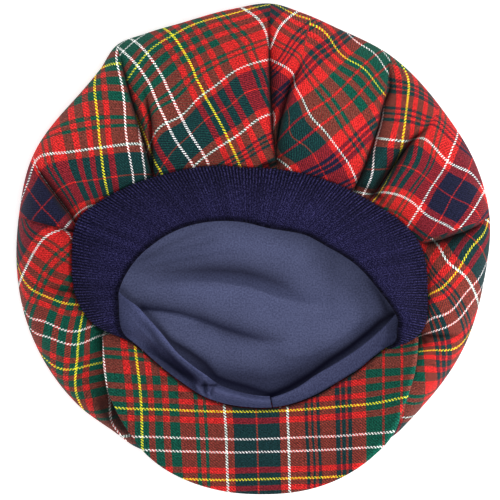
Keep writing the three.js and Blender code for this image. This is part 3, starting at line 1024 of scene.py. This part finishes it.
# Shares of the way back at which shade begins, and at which ripples begin and end
SHADE_BEGIN = 0.1
RIPPLE_BEGIN = 0.2
RIPPLE_END = 0.9
# Heights of the ripples in slack cloth, in millimetres, and how far it drifts, in squares
RIPPLE_WIDE = 0.5
RIPPLE_SMALL = 0.18
DRIFT = 0.5
# Panels that lie almost wholly under the peak, whose check needs no bend
HIDDEN = ("front_left", "front_right")
# Squares past the rim at which the check stops bending
PAST_RIM = 10


def ripples(plan):
    """Slight unevenness of slack cloth, from waves of unlike lengths."""
    x, y = plan[..., 0], plan[..., 1]
    wide = np.sin(x / 7.3 + np.sin(y / 9.1)) * np.sin(y / 8.2 + np.sin(x / 10.7))
    small = np.sin(x / 3.1 + y / 4.7) * np.sin(y / 3.6 - x / 5.3 + 1.1)
    return RIPPLE_WIDE * wide + RIPPLE_SMALL * small


def drift(plan):
    """How far hand-sewn cloth strays from its chart, in squares."""
    x, y = plan[..., 0], plan[..., 1]
    warp = np.sin(x / 11 + np.sin(y / 13)) * np.sin(y / 12 + 0.7)
    weft = np.sin(y / 10 + np.sin(x / 14) + 2) * np.sin(x / 13 - 0.4)
    return DRIFT * np.stack([warp, weft], -1)


def pleat_jumps(name, plan):
    """Where the check jumps at the pleats of a panel."""
    jumps = []
    for row in PLEATS.get(name, []):
        along, left = track(CREASES[row][0], plan)
        opened = ease(along, 0, PLEAT_OPEN) if name in OPENING_PLEATS else 1.0
        jumps.append(np.tanh(left / PLEAT_WIDTH) / 2 * opened)
    return jumps


def crown_panel(index):
    """One panel. Squares across it count from its middle, and along it from its sewn edge."""
    name = PANELS[index][0]
    plan, height, back, climb = panel_form(index)
    even = np.concatenate([plan, height[..., None]], -1)
    a = arc(even, 0)
    a = (a - a[LINES_OVER // 2]) / SQUARE
    b = arc(even[:, ::-1], 1)[:, ::-1] / SQUARE
    depth, dark = dent(plan, back)
    dark = np.maximum(dark, EDGE_DARK * ease(b, *EDGE_FADE))
    shade = shade_over(plan, CROWN_SHADES) * ease(back, 0, SHADE_BEGIN)
    dark = np.maximum(dark, shade) + np.minimum(shade, 0)
    slack = ease(back, 0, RIPPLE_BEGIN) * ease(back, 1, RIPPLE_END)
    height = height - depth + ripples(plan) * slack
    places = np.concatenate([plan, height[..., None]], -1)
    shown = np.broadcast_to((back >= 0) & (climb >= 1), height.shape)
    degree = 1 if name in HIDDEN else 2
    limit = b[:, RIM_ROW * STEPS_OUT].max() + PAST_RIM
    cloth = pin_check(name, plan, a, b, shown, pleat_jumps(name, plan), degree, limit)
    piece = new_grid("cloth_" + name, places, cloth + drift(plan), dark)
    apply(piece, "SOLIDIFY", thickness=CROWN_CLOTH / 1000, offset=-1)
    settle(piece, "crown_panel_" + name, "tartan", tartan_cloth)


for index in range(len(PANELS)):
    crown_panel(index)
print("crown:", len(PANELS), "panels")

# %% [markdown]
# The peak, the band and the strips are flat sections with a rounded free edge. An outline could be
# extruded and bevelled, but their heights and widths change all along. So each is a closed loop of
# points round its section, lower face, rounded edge and upper face, which is swept between the
# sewn line and the free edge.

# %% Swept sections
# Steps round the free edge
CAP_STEPS = 7


def section_loop(thickness, steps):
    """Shares across a flat section, its round nose, and heights over its lower face."""
    turn = np.linspace(-np.pi / 2, np.pi / 2, CAP_STEPS)
    flat = np.linspace(0, 1, steps)
    none = np.zeros(steps)
    share = np.concatenate([flat, np.ones(CAP_STEPS), flat[::-1]])
    nose = np.concatenate([none, np.cos(turn), none]) * thickness / 2
    rise = np.concatenate([none, (np.sin(turn) + 1) / 2, np.ones(steps)]) * thickness
    return share, nose, rise


def sweep(root, free, thickness, steps):
    """A section swept between two lines: its plan, shares, heights and length across."""
    share, nose, rise = section_loop(thickness, steps)
    length = np.linalg.norm(free - root, axis=1)[:, None]
    way = (free - root) / length
    inset = 1 - thickness / 2 / length
    plan = root[:, None] + (free - root)[:, None] * (share * inset)[..., None]
    plan = plan + way[:, None] * nose[None, :, None]
    return plan, share, rise, length


def once_round(plan, height):
    """Places of a swept section, with its first line again at its end."""
    places = np.concatenate([plan, height[..., None]], -1)
    return np.concatenate([places, places[:, :1]], 1)


def close_loop():
    """Joins the two ends of a loop and fills the open ends of its sweep."""
    edit(
        merge,
        lambda: bpy.ops.mesh.fill_holes(sides=0),
        lambda: bpy.ops.mesh.normals_make_consistent(inside=False),
    )


print("swept sections: free edges rounded in", CAP_STEPS, "steps")

# %% [markdown]
# The peak is a stiff plate covered with the same cloth, with its underside up here. It slopes up to
# its front edge and curves up to both sides. A bent sheet gives its heights and a full ellipse its
# rim, because both stay smooth however fine the grid is. Two short tables fit its root to the seam
# and trim its rim.

# %% Peak
# What is left free between pieces at the seam, in millimetres
SEAM_GAP = 0.4
# The peak's ellipse: middle, half width and reach, in millimetres, and how square it is
PEAK_CENTRE = np.array([5.1, -58.2])
PEAK_HALF_WIDTH = 95.5
PEAK_FRONT = 89.0
PEAK_FULLNESS = 0.9
# Its rise to the front, its rise to both sides, and its thickness
PEAK_SLOPE = np.tan(np.radians(26))
PEAK_ARCH = 21.5
PEAK_THICKNESS = 3.6
# Its right and left end, as angles about the opening and round the peak
PEAK_ROOT_ENDS = (342, 199)
PEAK_RIM_ENDS = (362.2, 177.4)
# Lines along it, and steps across one face
PEAK_LINES = 121
PEAK_STEPS = 24
# Shade all over it, in the seam at its root and along its stitches, and widths in millimetres
PEAK_DARK = 0.1
ROOT_DARK = 0.85
ROOT_WIDTH = 1.3
STITCH_DARK = 0.45
STITCH_WIDTH = 0.5
# Light on the edge of its right side, its width, and where it fades in
RIM_LIGHT = 0.7
RIM_LIGHT_WIDTH = 0.7
RIM_LIGHT_FROM = (55, 75)
# Angle, and how far inside the sewn edge the peak starts
PEAK_ROOT = [
    (177, 3.3), (190, 3.3), (199, 2.9), (207, 2.4), (216, 1.2), (226, 0.4), (236, 0), (246, -0.8),
    (256, -0.5), (270, 0), (285, -0.3), (300, 0), (315, 0.5), (325, 0.6), (332, 1.2), (342, 1.6),
    (347, 3.0), (351, 3.3),
]
# Angle round the peak, and how far its rim moves to the right
PEAK_TRIM = [
    (177, 0), (194, 0), (204, 1.0), (214, 1.6), (224, 0.8), (235, 0.5), (251, 1.0), (262, 0.4),
    (270, 0), (285, -1.0), (295, -1.8), (305, -2.2), (315, -2.2), (322, -1.8), (328, -2.4),
    (334, -3.5), (340, -4.0), (345, -3.8), (350, -3.1), (360, -1.9), (363, -1.6),
]
# Lines of stitches, on the layout sheet
PEAK_STITCHES = [
    [(151, 363), (165, 379), (179, 394), (201, 403), (212, 408)],
    [(385, 350), (375, 360), (368, 370), (355, 384), (350, 388)],
]


def peak_sheet(plan):
    """Height of the bent sheet that the peak is cut from."""
    off = (plan[..., 0] - PEAK_CENTRE[0]) / PEAK_HALF_WIDTH
    return PEAK_ARCH * off * off - plan[..., 1] * PEAK_SLOPE


peak_root = curve(*columns(PEAK_ROOT))


def fuller(value):
    """A sine or cosine that makes an ellipse squarer."""
    return np.sign(value) * np.abs(value) ** PEAK_FULLNESS


def peak():
    t = np.linspace(0, 1, PEAK_LINES)
    deg = mix(*PEAK_ROOT_ENDS, t)
    root = opening_point(deg, peak_root(deg)[:, None])
    level = peak_sheet(opening_point(deg, CROWN_LAP - SEAM_GAP))
    turn = mix(*PEAK_RIM_ENDS, t)
    angle = np.radians(turn)
    rim = PEAK_CENTRE + np.stack(
        [PEAK_HALF_WIDTH * fuller(np.cos(angle)), PEAK_FRONT * fuller(np.sin(angle))], -1
    )
    rim[:, 0] += curve(*columns(PEAK_TRIM))(turn)
    plan, share, rise, length = sweep(root, rim, PEAK_THICKNESS, PEAK_STEPS)
    height = SEAM_HEIGHT + SEAM_GAP + peak_sheet(plan) - level[:, None] + rise
    places = once_round(plan, height)[::-1]
    length = length[::-1]
    plan = places[..., :2]
    a = plan[..., 0] / SQUARE
    b = -plan[..., 1] / SQUARE
    shown = np.ones(a.shape, bool)
    shown[:, :PEAK_STEPS] = False
    cloth = pin_check("peak", plan, a, b, shown, slack=False)
    from_root = np.append(share, share[0]) * length
    dark = ROOT_DARK * np.exp(-((from_root / ROOT_WIDTH) ** 2))
    dark = 1 - (1 - dark) * (1 - PEAK_DARK)
    for line in PEAK_STITCHES:
        _, left = track(line, plan)
        dark = np.maximum(dark, STITCH_DARK * np.exp(-((left / STITCH_WIDTH) ** 2)))
    on_rim = np.exp(-(((length - from_root) / RIM_LIGHT_WIDTH) ** 2))
    dark = dark - RIM_LIGHT * on_rim * ease(plan[..., 0], *RIM_LIGHT_FROM)
    piece = new_grid("cloth_peak", places, cloth, dark)
    close_loop()
    settle(piece, "peak", "tartan", tartan_cloth)


peak()

# %% [markdown]
# The band is a thick rib knit. Its ribs run from the sewn edge to the free edge, about one and a
# half millimetres apart. At this distance the ribs are the texture, so they are real waves in the
# mesh, which also scallop the sewn edge, and the stitches are a bump. A knit is never one even
# colour: some ribs are lighter, and a fine noise along the ribs gives flecks.

# %% Rib-knit finish
KNIT_DARK = srgb(18, 16, 54)
KNIT_FLECK = srgb(92, 88, 150)
# How much worn patches and single ribs differ
WORN_SPREAD = 0.8
RIB_SPREAD = 0.4
# About how many squares a rib is wide, and how fine the noises of flecks and worn patches are
RIB_SQUARES = 3.0
FLECK_SCALE = 0.7
WORN_SCALE = 0.04
# The part of the noise over which flecks set in
FLECK_SPAN = (0.44, 0.74)
# Squares from the sewn edge over which ribs grow fainter, and their contrast before and after
RIB_FADE = (6.0, 22.0)
RIB_CONTRAST = (1.3, 0.15)
# The height on a rib between its painted highlight and its painted shade, and how bright it is
# there
RIB_EVEN = 0.55
RIB_LIGHT = 0.85
# How far stitches slant up a rib, how close they are, their bump beside flecks, and the bump's
# strength and its depth in metres
STITCH_SLANT = 0.9
STITCH_TURN = 3.6
STITCH_BUMP = 0.5
KNIT_BUMP = (0.6, 0.0004)


def rib_knit():
    material, shader, handle = new_finish(
        "rib_knit", srgb(32, 28, 68), 0.95, Sheen_Weight=0.02, Specular_IOR_Level=0.04
    )
    _, u, v = flat_cloth(handle)
    ridge = handle.math("PINGPONG", u, 0.5) * 2
    along_ribs = handle.node("CombineXYZ", {0: u * RIB_SQUARES, 1: v})
    fleck = noise(handle, along_ribs, FLECK_SCALE, 3.0)
    worn = noise(handle, along_ribs, WORN_SCALE, 3.0)
    base = fade(handle, fleck, FLECK_SPAN).blend(KNIT_DARK, KNIT_FLECK)
    rib = handle.node("TexWhiteNoise", {"W": handle.math("FLOOR", u)}, noise_dimensions="1D")
    # Painted highlight on the ridges of the ribs and painted shade in their valleys, strongest near
    # the sewn edge
    strong = fade(handle, v, RIB_FADE, RIB_CONTRAST)
    shade = about_one(worn, WORN_SPREAD) * about_one(rib, RIB_SPREAD)
    shade = shade * ((ridge - RIB_EVEN) * strong + RIB_LIGHT)
    lit = shade * (1 - shade_mark(handle))
    handle.plug(shader.inputs["Base Color"], lit.tint(base))
    stitch = handle.math("SINE", (v + ridge * STITCH_SLANT) * STITCH_TURN)
    raise_by(handle, shader, stitch * STITCH_BUMP + fleck, *KNIT_BUMP)
    return material


knit = rib_knit()
print("finish:", knit.name)

# %% Knit band
# Angle, free edge, climb to it, start inside the sewn edge, height there
BAND = [
    (-23, 89.8, 0.5, 0.3, 6.5), (-19, 92.4, 1.5, 0, 7.5), (-15, 91.2, 4, 0, 8),
    (-11, 90.0, 8, -0.5, 4), (-7, 85.4, 15, -0.5, 0.4), (0, 77.0, 19, -0.5, 0),
    (10, 68.0, 19, -0.5, 0), (28, 53.8, 18, -0.5, 0), (45, 46.6, 20, -0.5, 0),
    (60, 41.0, 21, -0.5, 0), (76, 38.5, 22, -0.5, 0), (98, 41.2, 22, -0.5, 0),
    (115, 45.5, 21, -0.5, 0), (131, 51.8, 19, -0.5, 0), (152, 62.6, 16, -0.5, 0),
    (167, 71.6, 17, -0.5, 0), (180, 78.2, 18, -0.5, 0), (187, 79.0, 15, -0.5, 0.2),
    (193, 80.2, 9.5, 0.6, 2), (197, 80.4, 5, 2.4, 4.6), (200.5, 79.4, 2, 2.8, 5),
    (204, 76.6, 0.5, 2.8, 5),
]
# Thickness and bulge in millimetres, and the bulge at most as a share of the width
BAND_KNIT = 3.0
BAND_BULGE = 2.5
BAND_BULGE_SHARE = 0.15
# Count of ribs, lines to a rib, and their depth and scallop in millimetres
RIBS = 204
RIB_STEPS = 8
RIB_DEPTH = 1.1
RIB_SCALLOP = 0.6
# How sharp the valleys are, and how much flatter the ribs get over which share of the way in
RIB_SHARPNESS = 0.7
RIB_FLATTER = 0.7
RIB_FLATTER_FROM = (0.2, 0.7)
# The share of the way in where the ribs are spaced evenly
RIB_SPACING_AT = 0.6
# Steps across one face, and steps in which the band's length is measured
BAND_STEPS = 15
LENGTH_STEPS = 2000
# Painted shade where the free edge turns in, and where it ends and starts, in millimetres
TURN_DARK = 0.75
TURN_FADE = (3, 0.5)


def knit_band():
    deg_rows, *value_rows = columns(BAND)
    edge, climb, inside, base = (curve(deg_rows, rows) for rows in value_rows)

    def lines(deg):
        return opening_point(deg, inside(deg)[:, None]), polar(OPENING_CENTRE, edge(deg), deg)

    fine = np.linspace(deg_rows[0], deg_rows[-1], LENGTH_STEPS)
    middle = mix(*lines(fine), RIB_SPACING_AT)
    walked = arc(middle[:, None], 0)[:, 0]
    deg = np.interp(np.linspace(0, walked[-1], RIBS * RIB_STEPS + 1), walked, fine)
    root, free = lines(deg)
    wave = np.abs(np.sin(np.arange(len(deg)) / RIB_STEPS * np.pi))[:, None]
    way = (free - root) / np.linalg.norm(free - root, axis=1)[:, None]
    root = root - way * wave * RIB_SCALLOP
    plan, share, rise, length = sweep(root, free, BAND_KNIT, BAND_STEPS)
    bulge = np.minimum(BAND_BULGE, BAND_BULGE_SHARE * length)
    height = SEAM_HEIGHT + SEAM_GAP + base(deg)[:, None] + climb(deg)[:, None] * share
    height = height + bulge * np.sin(np.pi * share) + rise
    rib = (wave**RIB_SHARPNESS - 1) * RIB_DEPTH
    flatter = 1 - RIB_FLATTER * ease(share, *RIB_FLATTER_FROM)
    height = height + rib * (rise / BAND_KNIT) * flatter
    places = once_round(plan, height)
    share = np.append(share, share[0])
    u = np.broadcast_to(np.linspace(0, RIBS, len(deg))[:, None], places.shape[:2])
    v = length * share / SQUARE
    turned = TURN_DARK * ease(length * (1 - share), *TURN_FADE)
    piece = new_grid("cloth_knit_band", places, np.stack([u, v], -1), turned)
    close_loop()
    settle(piece, "knit_band", "rib_knit", knit)


knit_band()

# %% [markdown]
# The lining is a thin satin with little shine in this soft light. It lies slack in the crown, in
# long soft folds. Folds in slack cloth are hills along a line, so they are charted as the creases
# were: a line, a height and a width. The finish is dark blue in the shade of a fold.

# %% Satin finish
SATIN_ROUGHNESS = 0.55
SATIN_SHADE = srgb(10, 10, 36)
# How close the weave is, and how fine the noises of slubs and clouds are
WEAVE_TURN = 7.0
SLUB_SCALE = 0.6
CLOUD_SCALE = 0.03
# How much slubs and clouds lighten it, and what is taken off for the middle of both
SLUB_LIGHT = 3.0
CLOUD_LIGHT = 0.6
SATIN_EVEN = 1.25
# How much the weave adds to the bump, its strength, and its depth in metres
WEAVE_BUMP = 0.3
SATIN_BUMP = (0.12, 0.0002)


def satin(name, colour, light):
    material, shader, handle = new_finish(
        name, colour, SATIN_ROUGHNESS, Sheen_Weight=0.02, Sheen_Roughness=0.4,
        Specular_IOR_Level=0.06,
    )
    cloth, u, v = flat_cloth(handle)
    weave = handle.math("SINE", u * WEAVE_TURN) * handle.math("SINE", v * WEAVE_TURN)
    slub = noise(handle, cloth, SLUB_SCALE, 3.0)
    cloud = noise(handle, cloth, CLOUD_SCALE)
    lighter = slub * SLUB_LIGHT + cloud * CLOUD_LIGHT - SATIN_EVEN
    base = lighter.blend(colour, light)
    # Painted shade from the vertices, and painted light where it is below 0
    painted_shade = shade_mark(handle)
    lit = (1 - handle.math("MINIMUM", painted_shade, 0.0)).tint(base)
    shaded = handle.math("MAXIMUM", painted_shade, 0.0).blend(lit, SATIN_SHADE)
    handle.plug(shader.inputs["Base Color"], shaded)
    raise_by(handle, shader, weave * WEAVE_BUMP + slub, *SATIN_BUMP)
    return material


lining_cloth = satin("lining", srgb(78, 83, 118), srgb(106, 113, 154))
facing_cloth = satin("facing", srgb(60, 64, 98), srgb(90, 96, 136))
print("finishes:", lining_cloth.name, "and", facing_cloth.name)

# %% Lining
# Thickness in millimetres, lines round and rows in
LINING_CLOTH = 1.0
LINING_LINES = 301
LINING_ROWS = 96
# How closely rows crowd at the edge
LINING_CROWDING = 1.3
# Height of its middle over the floor, in millimetres
BOWL_HEIGHT = 22
# Share of the way in, and share of the climb to the seam there
BOWL = [
    (0, 1.0), (0.02, 0.8), (0.07, 0.55), (0.16, 0.3), (0.3, 0.12), (0.5, 0.03), (0.75, 0), (1, 0),
]
# Line, heights along it, and width to its back and to its front, of each fold
LINING_FOLDS = [
    ([(135, 275), (160, 266), (200, 259), (235, 255), (270, 262)], [1, 2, 2.5, 2, 0], 8, 8),
    ([(140, 286), (190, 282), (220, 283), (250, 288), (275, 297), (300, 303), (340, 308)],
     [1, 2.5, 4, 5, 5, 3, 0], 5, 12),
    ([(146, 311), (175, 316), (200, 323), (225, 331), (250, 338), (275, 350)],
     [3, 3.5, 3.5, 3, 2.5, 0], 2.5, 10),
    ([(285, 330), (310, 325), (335, 320), (365, 312)], [0, 2, 2, 0], 9, 9),
]
# How far folds may dip, and the share of the way in where they begin
FOLD_DIP = -0.8
FOLD_BEGIN = (0.1, 0.3)
# Where the right strip's shadow falls
STRIP_SHADOW = [
    (272, 395), (290, 387), (310, 375), (330, 360), (350, 347), (370, 331), (380, 322), (393, 314),
]
# The same for what lies in shade: line, darkness, and width to its back and to its front
LINING_SHADES = [
    ([(150, 272), (185, 271), (215, 270), (243, 272), (265, 278), (285, 286), (300, 298)],
     [0.25, 0.55, 0.72, 0.78, 0.76, 0.6, 0.2], 7, 5.5),
    ([(143, 309), (160, 310), (180, 313), (203, 320), (223, 328), (240, 334), (262, 339),
      (283, 340)],
     [0.8, 0.78, 0.72, 0.6, 0.55, 0.5, 0.4, 0.15], 5, 1.2),
    ([(203, 322), (225, 331), (248, 338), (275, 342)], [0.45, 0.6, 0.5, 0.25], 6, 4),
    ([(145, 258), (190, 247), (215, 240)], [0.2, 0.28, 0.2], 2, 3),
    ([(136, 262), (165, 246), (205, 229)], [0.25, 0.35, 0.15], 1.5, 2.5),
    ([(137, 271), (170, 262), (205, 256)], [0.15, 0.22, 0.1], 1.5, 2.5),
    ([(205, 370), (235, 376), (265, 380), (295, 374), (320, 360)], [0.5, 0.65, 0.7, 0.62, 0.45],
     9, 14),
    ([(333, 268), (333, 300)], [0.15, 0.15], 5, 5),
    ([(372, 283), (381, 297), (387, 310)], [0.4, 0.7, 0.85], 3.5, 3.5),
    ([(268, 350), (290, 358), (310, 357), (330, 347), (345, 337), (362, 325), (378, 315)],
     [0.1, 0.2, 0.2, 0.2, 0.18, 0.18, 0.2], 0.8, 6),
    (STRIP_SHADOW, [0.9, 0.9], 2.0, 2.4),
    (STRIP_SHADOW, [0.9, 0.9], 2.0, 4),
    ([(121, 289), (146, 311), (170, 340), (190, 352), (205, 363), (217, 377), (230, 382),
      (245, 386), (260, 391), (272, 395)],
     [0.5, 0.5, 0.6, 0.85, 0.92, 0.92, 0.92, 0.9, 0.9, 0.9], 2.2, 8),
    # and what catches the light
    ([(150, 288), (193, 289), (243, 291), (277, 299), (310, 304), (350, 306)],
     [-0.1, -0.18, -0.18, -0.15, -0.1, 0], 4, 5),
    ([(130, 278), (160, 256), (200, 248), (250, 244), (300, 250)],
     [-0.15, -0.25, -0.28, -0.28, -0.15], 9, 8),
]


def lining():
    deg = np.linspace(0, 360, LINING_LINES)
    rim = opening_point(deg, CROWN_LAP + SEAM_GAP)[:, None]
    row = np.linspace(0, 1, LINING_ROWS) ** LINING_CROWDING
    climb = np.clip(np.interp(row, *columns(BOWL)), 0, 1)[None, :]
    plan = mix(rim, np.array(OPENING_CENTRE), row[None, :, None])
    height = mix(BOWL_HEIGHT + LINING_CLOTH, SEAM_HEIGHT - SEAM_GAP, climb)
    folds = np.maximum(folds_over(plan, LINING_FOLDS), FOLD_DIP)
    height = height + folds * ease(row, *FOLD_BEGIN)
    places = np.concatenate([plan, height[..., None]], -1)
    piece = new_grid("cloth_lining", places, plan / SQUARE, shade_over(plan, LINING_SHADES))
    edit(merge)
    apply(piece, "SOLIDIFY", thickness=LINING_CLOTH / 1000, offset=-1)
    settle(piece, "lining", "lining", lining_cloth)


lining()

# %% [markdown]
# Two strips of the lining cloth face the seam behind the peak. The right one is flat and crisp.
# The left one is slack, puffs up and has a small twist near the middle. Both are swept as the peak
# was, with folds and shade from charts.

# %% Front strips
# Thickness and gap to the peak's root, in millimetres, lines along and steps across one face
STRIP_CLOTH = 1.4
STRIP_GAP = 0.7
STRIP_LINES = 241
STRIP_STEPS = 28
# Angle, free edge, slack, lift
LEFT_STRIP = [
    (177, 82.0, 2, 0), (182, 77.0, 3, 0), (189, 67.5, 6, 0), (204, 59.6, 7, 1), (222, 57.4, 6, 2),
    (241, 57.2, 5, 3), (252, 59.6, 3, 1), (265, 61.4, 3, 1), (280.5, 64.8, 3, 0),
]
RIGHT_STRIP = [
    (281.0, 65.7, 1, 2), (294, 65.0, 1, 3), (308.6, 64.5, 1, 3), (321.7, 68.4, 1, 3),
    (332.6, 74.3, 1, 3), (342.9, 81.6, 1, 3), (350.5, 88.3, 1, 3),
]
LEFT_FOLDS = [
    ([(119, 293), (144, 316), (167, 343), (181, 359), (198, 375), (211, 384)],
     [1.5, 2, 2.5, 2.5, 2, 1], 2.5, 2.5),
    ([(127, 312), (143, 330), (158, 349)], [1, 2.5, 1], 2.5, 3.5),
    ([(140, 348), (152, 354), (166, 363), (180, 374), (194, 384)], [0, -2.5, -4, -4, -2], 4, 3),
    ([(196, 386), (203, 395)], [2, 2], 2, 2),
    ([(204, 383), (207, 391)], [-4, -4], 1.3, 1.3),
    ([(213, 386), (210, 394)], [-2, -3], 1, 1),
    ([(216, 390), (240, 397), (266, 402)], [1.5, 2, 1], 3, 3),
]
# Line, darkness, and width to its back and to its front, of what lies in painted shade, and
# below 0 of the painted highlights
LEFT_SHADES = [
    ([(120, 290), (139, 309.5), (159, 332), (179, 355.5), (195, 368), (206, 376)],
     [-0.8, -1.0, -1.2, -1.3, -1.3, -0.8], 1.4, 1.2),
    ([(121, 305), (134, 335)], [-0.1, -0.2], 5, 5),
    ([(146, 324), (160, 344), (175, 360), (192, 376)], [0.3, 0.6, 0.8, 0.7], 2.2, 3),
    ([(215, 391), (235, 397), (262, 403)], [-0.3, -0.3, -0.2], 2.5, 2.5),
    ([(152, 349), (165, 360), (180, 371), (196, 380)], [0.5, 0.82, 0.88, 0.75], 4.5, 4.5),
    ([(147, 318), (153, 332), (158, 346)], [0.1, 0.25, 0.3], 1.5, 1.5),
    ([(197, 386), (198.5, 391), (202, 396)], [-0.5, -0.7, -0.4], 0.9, 0.9),
    ([(208.2, 386), (208.6, 392), (211, 399)], [-0.9, -0.8, -0.3], 0.8, 0.8),
    ([(202, 385.2), (206.8, 385.2)], [0.97, 0.97], 1.0, 1.0),
    ([(209.8, 385.2), (216, 385)], [0.97, 0.97], 0.9, 0.9),
    ([(204.5, 387), (205.5, 393), (208, 397)], [0.7, 0.7, 0.4], 0.9, 0.9),
    ([(218, 384), (225, 386), (240, 391), (255, 395)], [0.5, 0.6, 0.6, 0.3], 1.5, 1.5),
    ([(116, 297), (117, 322)], [0.8, 0.8], 1.0, 1.0),
]
# The same for the right strip: painted shade in the gap at its end and over the strip
RIGHT_SHADES = [
    ([(271, 398), (271, 408)], [0.85, 0.85], 0.9, 0.9),
    ([(275, 403), (310, 390), (345, 366), (375, 346), (392, 328)],
     [0.1, 0.15, 0.2, 0.3, 0.45], 12, 12),
]


def front_strip(name, rows, folds, shades):
    deg_rows, *value_rows = columns(rows)
    deg = np.linspace(deg_rows[0], deg_rows[-1], STRIP_LINES)
    edge, slack, lift = (curve(deg_rows, values)(deg) for values in value_rows)
    root = opening_point(deg, peak_root(deg)[:, None] + STRIP_GAP)
    free = polar(OPENING_CENTRE, edge, deg)
    plan, share, rise, _ = sweep(root, free, STRIP_CLOTH, STRIP_STEPS)
    puff = slack[:, None] * np.sin(np.pi * share)
    height = SEAM_HEIGHT + SEAM_GAP + (lift[:, None] + puff) * share + rise
    places = once_round(plan, height + folds_over(plan, folds))
    u = arc(places, 0) / SQUARE
    v = arc(places, 1) / SQUARE
    dark = shade_over(places[..., :2], shades)
    piece = new_grid("cloth_" + name, places, np.stack([u, v], -1), dark)
    close_loop()
    settle(piece, name, "facing", facing_cloth)


front_strip("front_strip_left", LEFT_STRIP, LEFT_FOLDS, LEFT_SHADES)
front_strip("front_strip_right", RIGHT_STRIP, [], RIGHT_SHADES)

# %% [markdown]
# A white table, a bright even sky and two lamps give the flat light of a product picture. The
# smaller lamp stands to the right and draws the folds. The Standard view keeps the colours as they
# were set.

# %% Floor and light
# Width of the table in metres, its own glow, and the strength of the sky
FLOOR_SIZE = 8
FLOOR_GLOW = 0.5
SKY_STRENGTH = 0.75
# Name, place in metres, size and watts of each lamp
LAMPS = [("overhead", (0.1, -0.1, 1.6), 0.5, 6), ("key", (0.85, -0.2, 1.15), 0.4, 22)]


def lamp(name, place, size, watts):
    """A square lamp that shines at the middle of the cap."""
    x, y, z = place
    bpy.ops.object.light_add(type="AREA", location=place)
    made = bpy.context.object
    made.name = name
    made.data.size = size
    made.data.energy = watts
    made.rotation_euler = (np.arctan2(np.hypot(x, y), z), 0, np.arctan2(-x, y))


bpy.ops.mesh.primitive_plane_add(size=FLOOR_SIZE)
floor = bpy.context.object
floor.name = "floor"
floor_finish, _, _ = new_finish(
    "floor", (0.9, 0.9, 0.9, 1), 0.9, Emission_Color=(1, 1, 1, 1), Emission_Strength=FLOOR_GLOW
)
floor.data.materials.append(floor_finish)

world = bpy.data.worlds.new("sky")
bpy.context.scene.world = world
world.use_nodes = True
sky = world.node_tree.nodes["Background"]
sky.inputs["Color"].default_value = (1, 1, 1, 1)
sky.inputs["Strength"].default_value = SKY_STRENGTH
for row in LAMPS:
    lamp(*row)
bpy.context.scene.view_settings.view_transform = "Standard"
print("lamps:", ", ".join(name for name, *_ in LAMPS))

# %% [markdown]
# The camera looks straight down from far away, so that heights hardly shift anything sideways.

# %% Camera
# Metres from the camera to the level that the layout sheet is read at, and that level
CAMERA_HEIGHT = 6.0
LEVEL = 0.045
# Width of the sensor in millimetres, and of the view in metres
SENSOR = 36
VIEW_WIDTH = SHEET_SQUARES * SQUARE / 1000
view_middle = (plan_of((SHEET_SQUARES / 2, SHEET_SQUARES / 2)) + SHIFT) / 1000
bpy.ops.object.camera_add(location=(*view_middle, CAMERA_HEIGHT + LEVEL), rotation=(0, 0, 0))
camera = bpy.context.object
camera.data.sensor_width = SENSOR
camera.data.lens = SENSOR * CAMERA_HEIGHT / VIEW_WIDTH
camera.data.clip_end = 50
bpy.context.scene.camera = camera
print("camera:", CAMERA_HEIGHT, "m up, view", VIEW_WIDTH, "m wide")
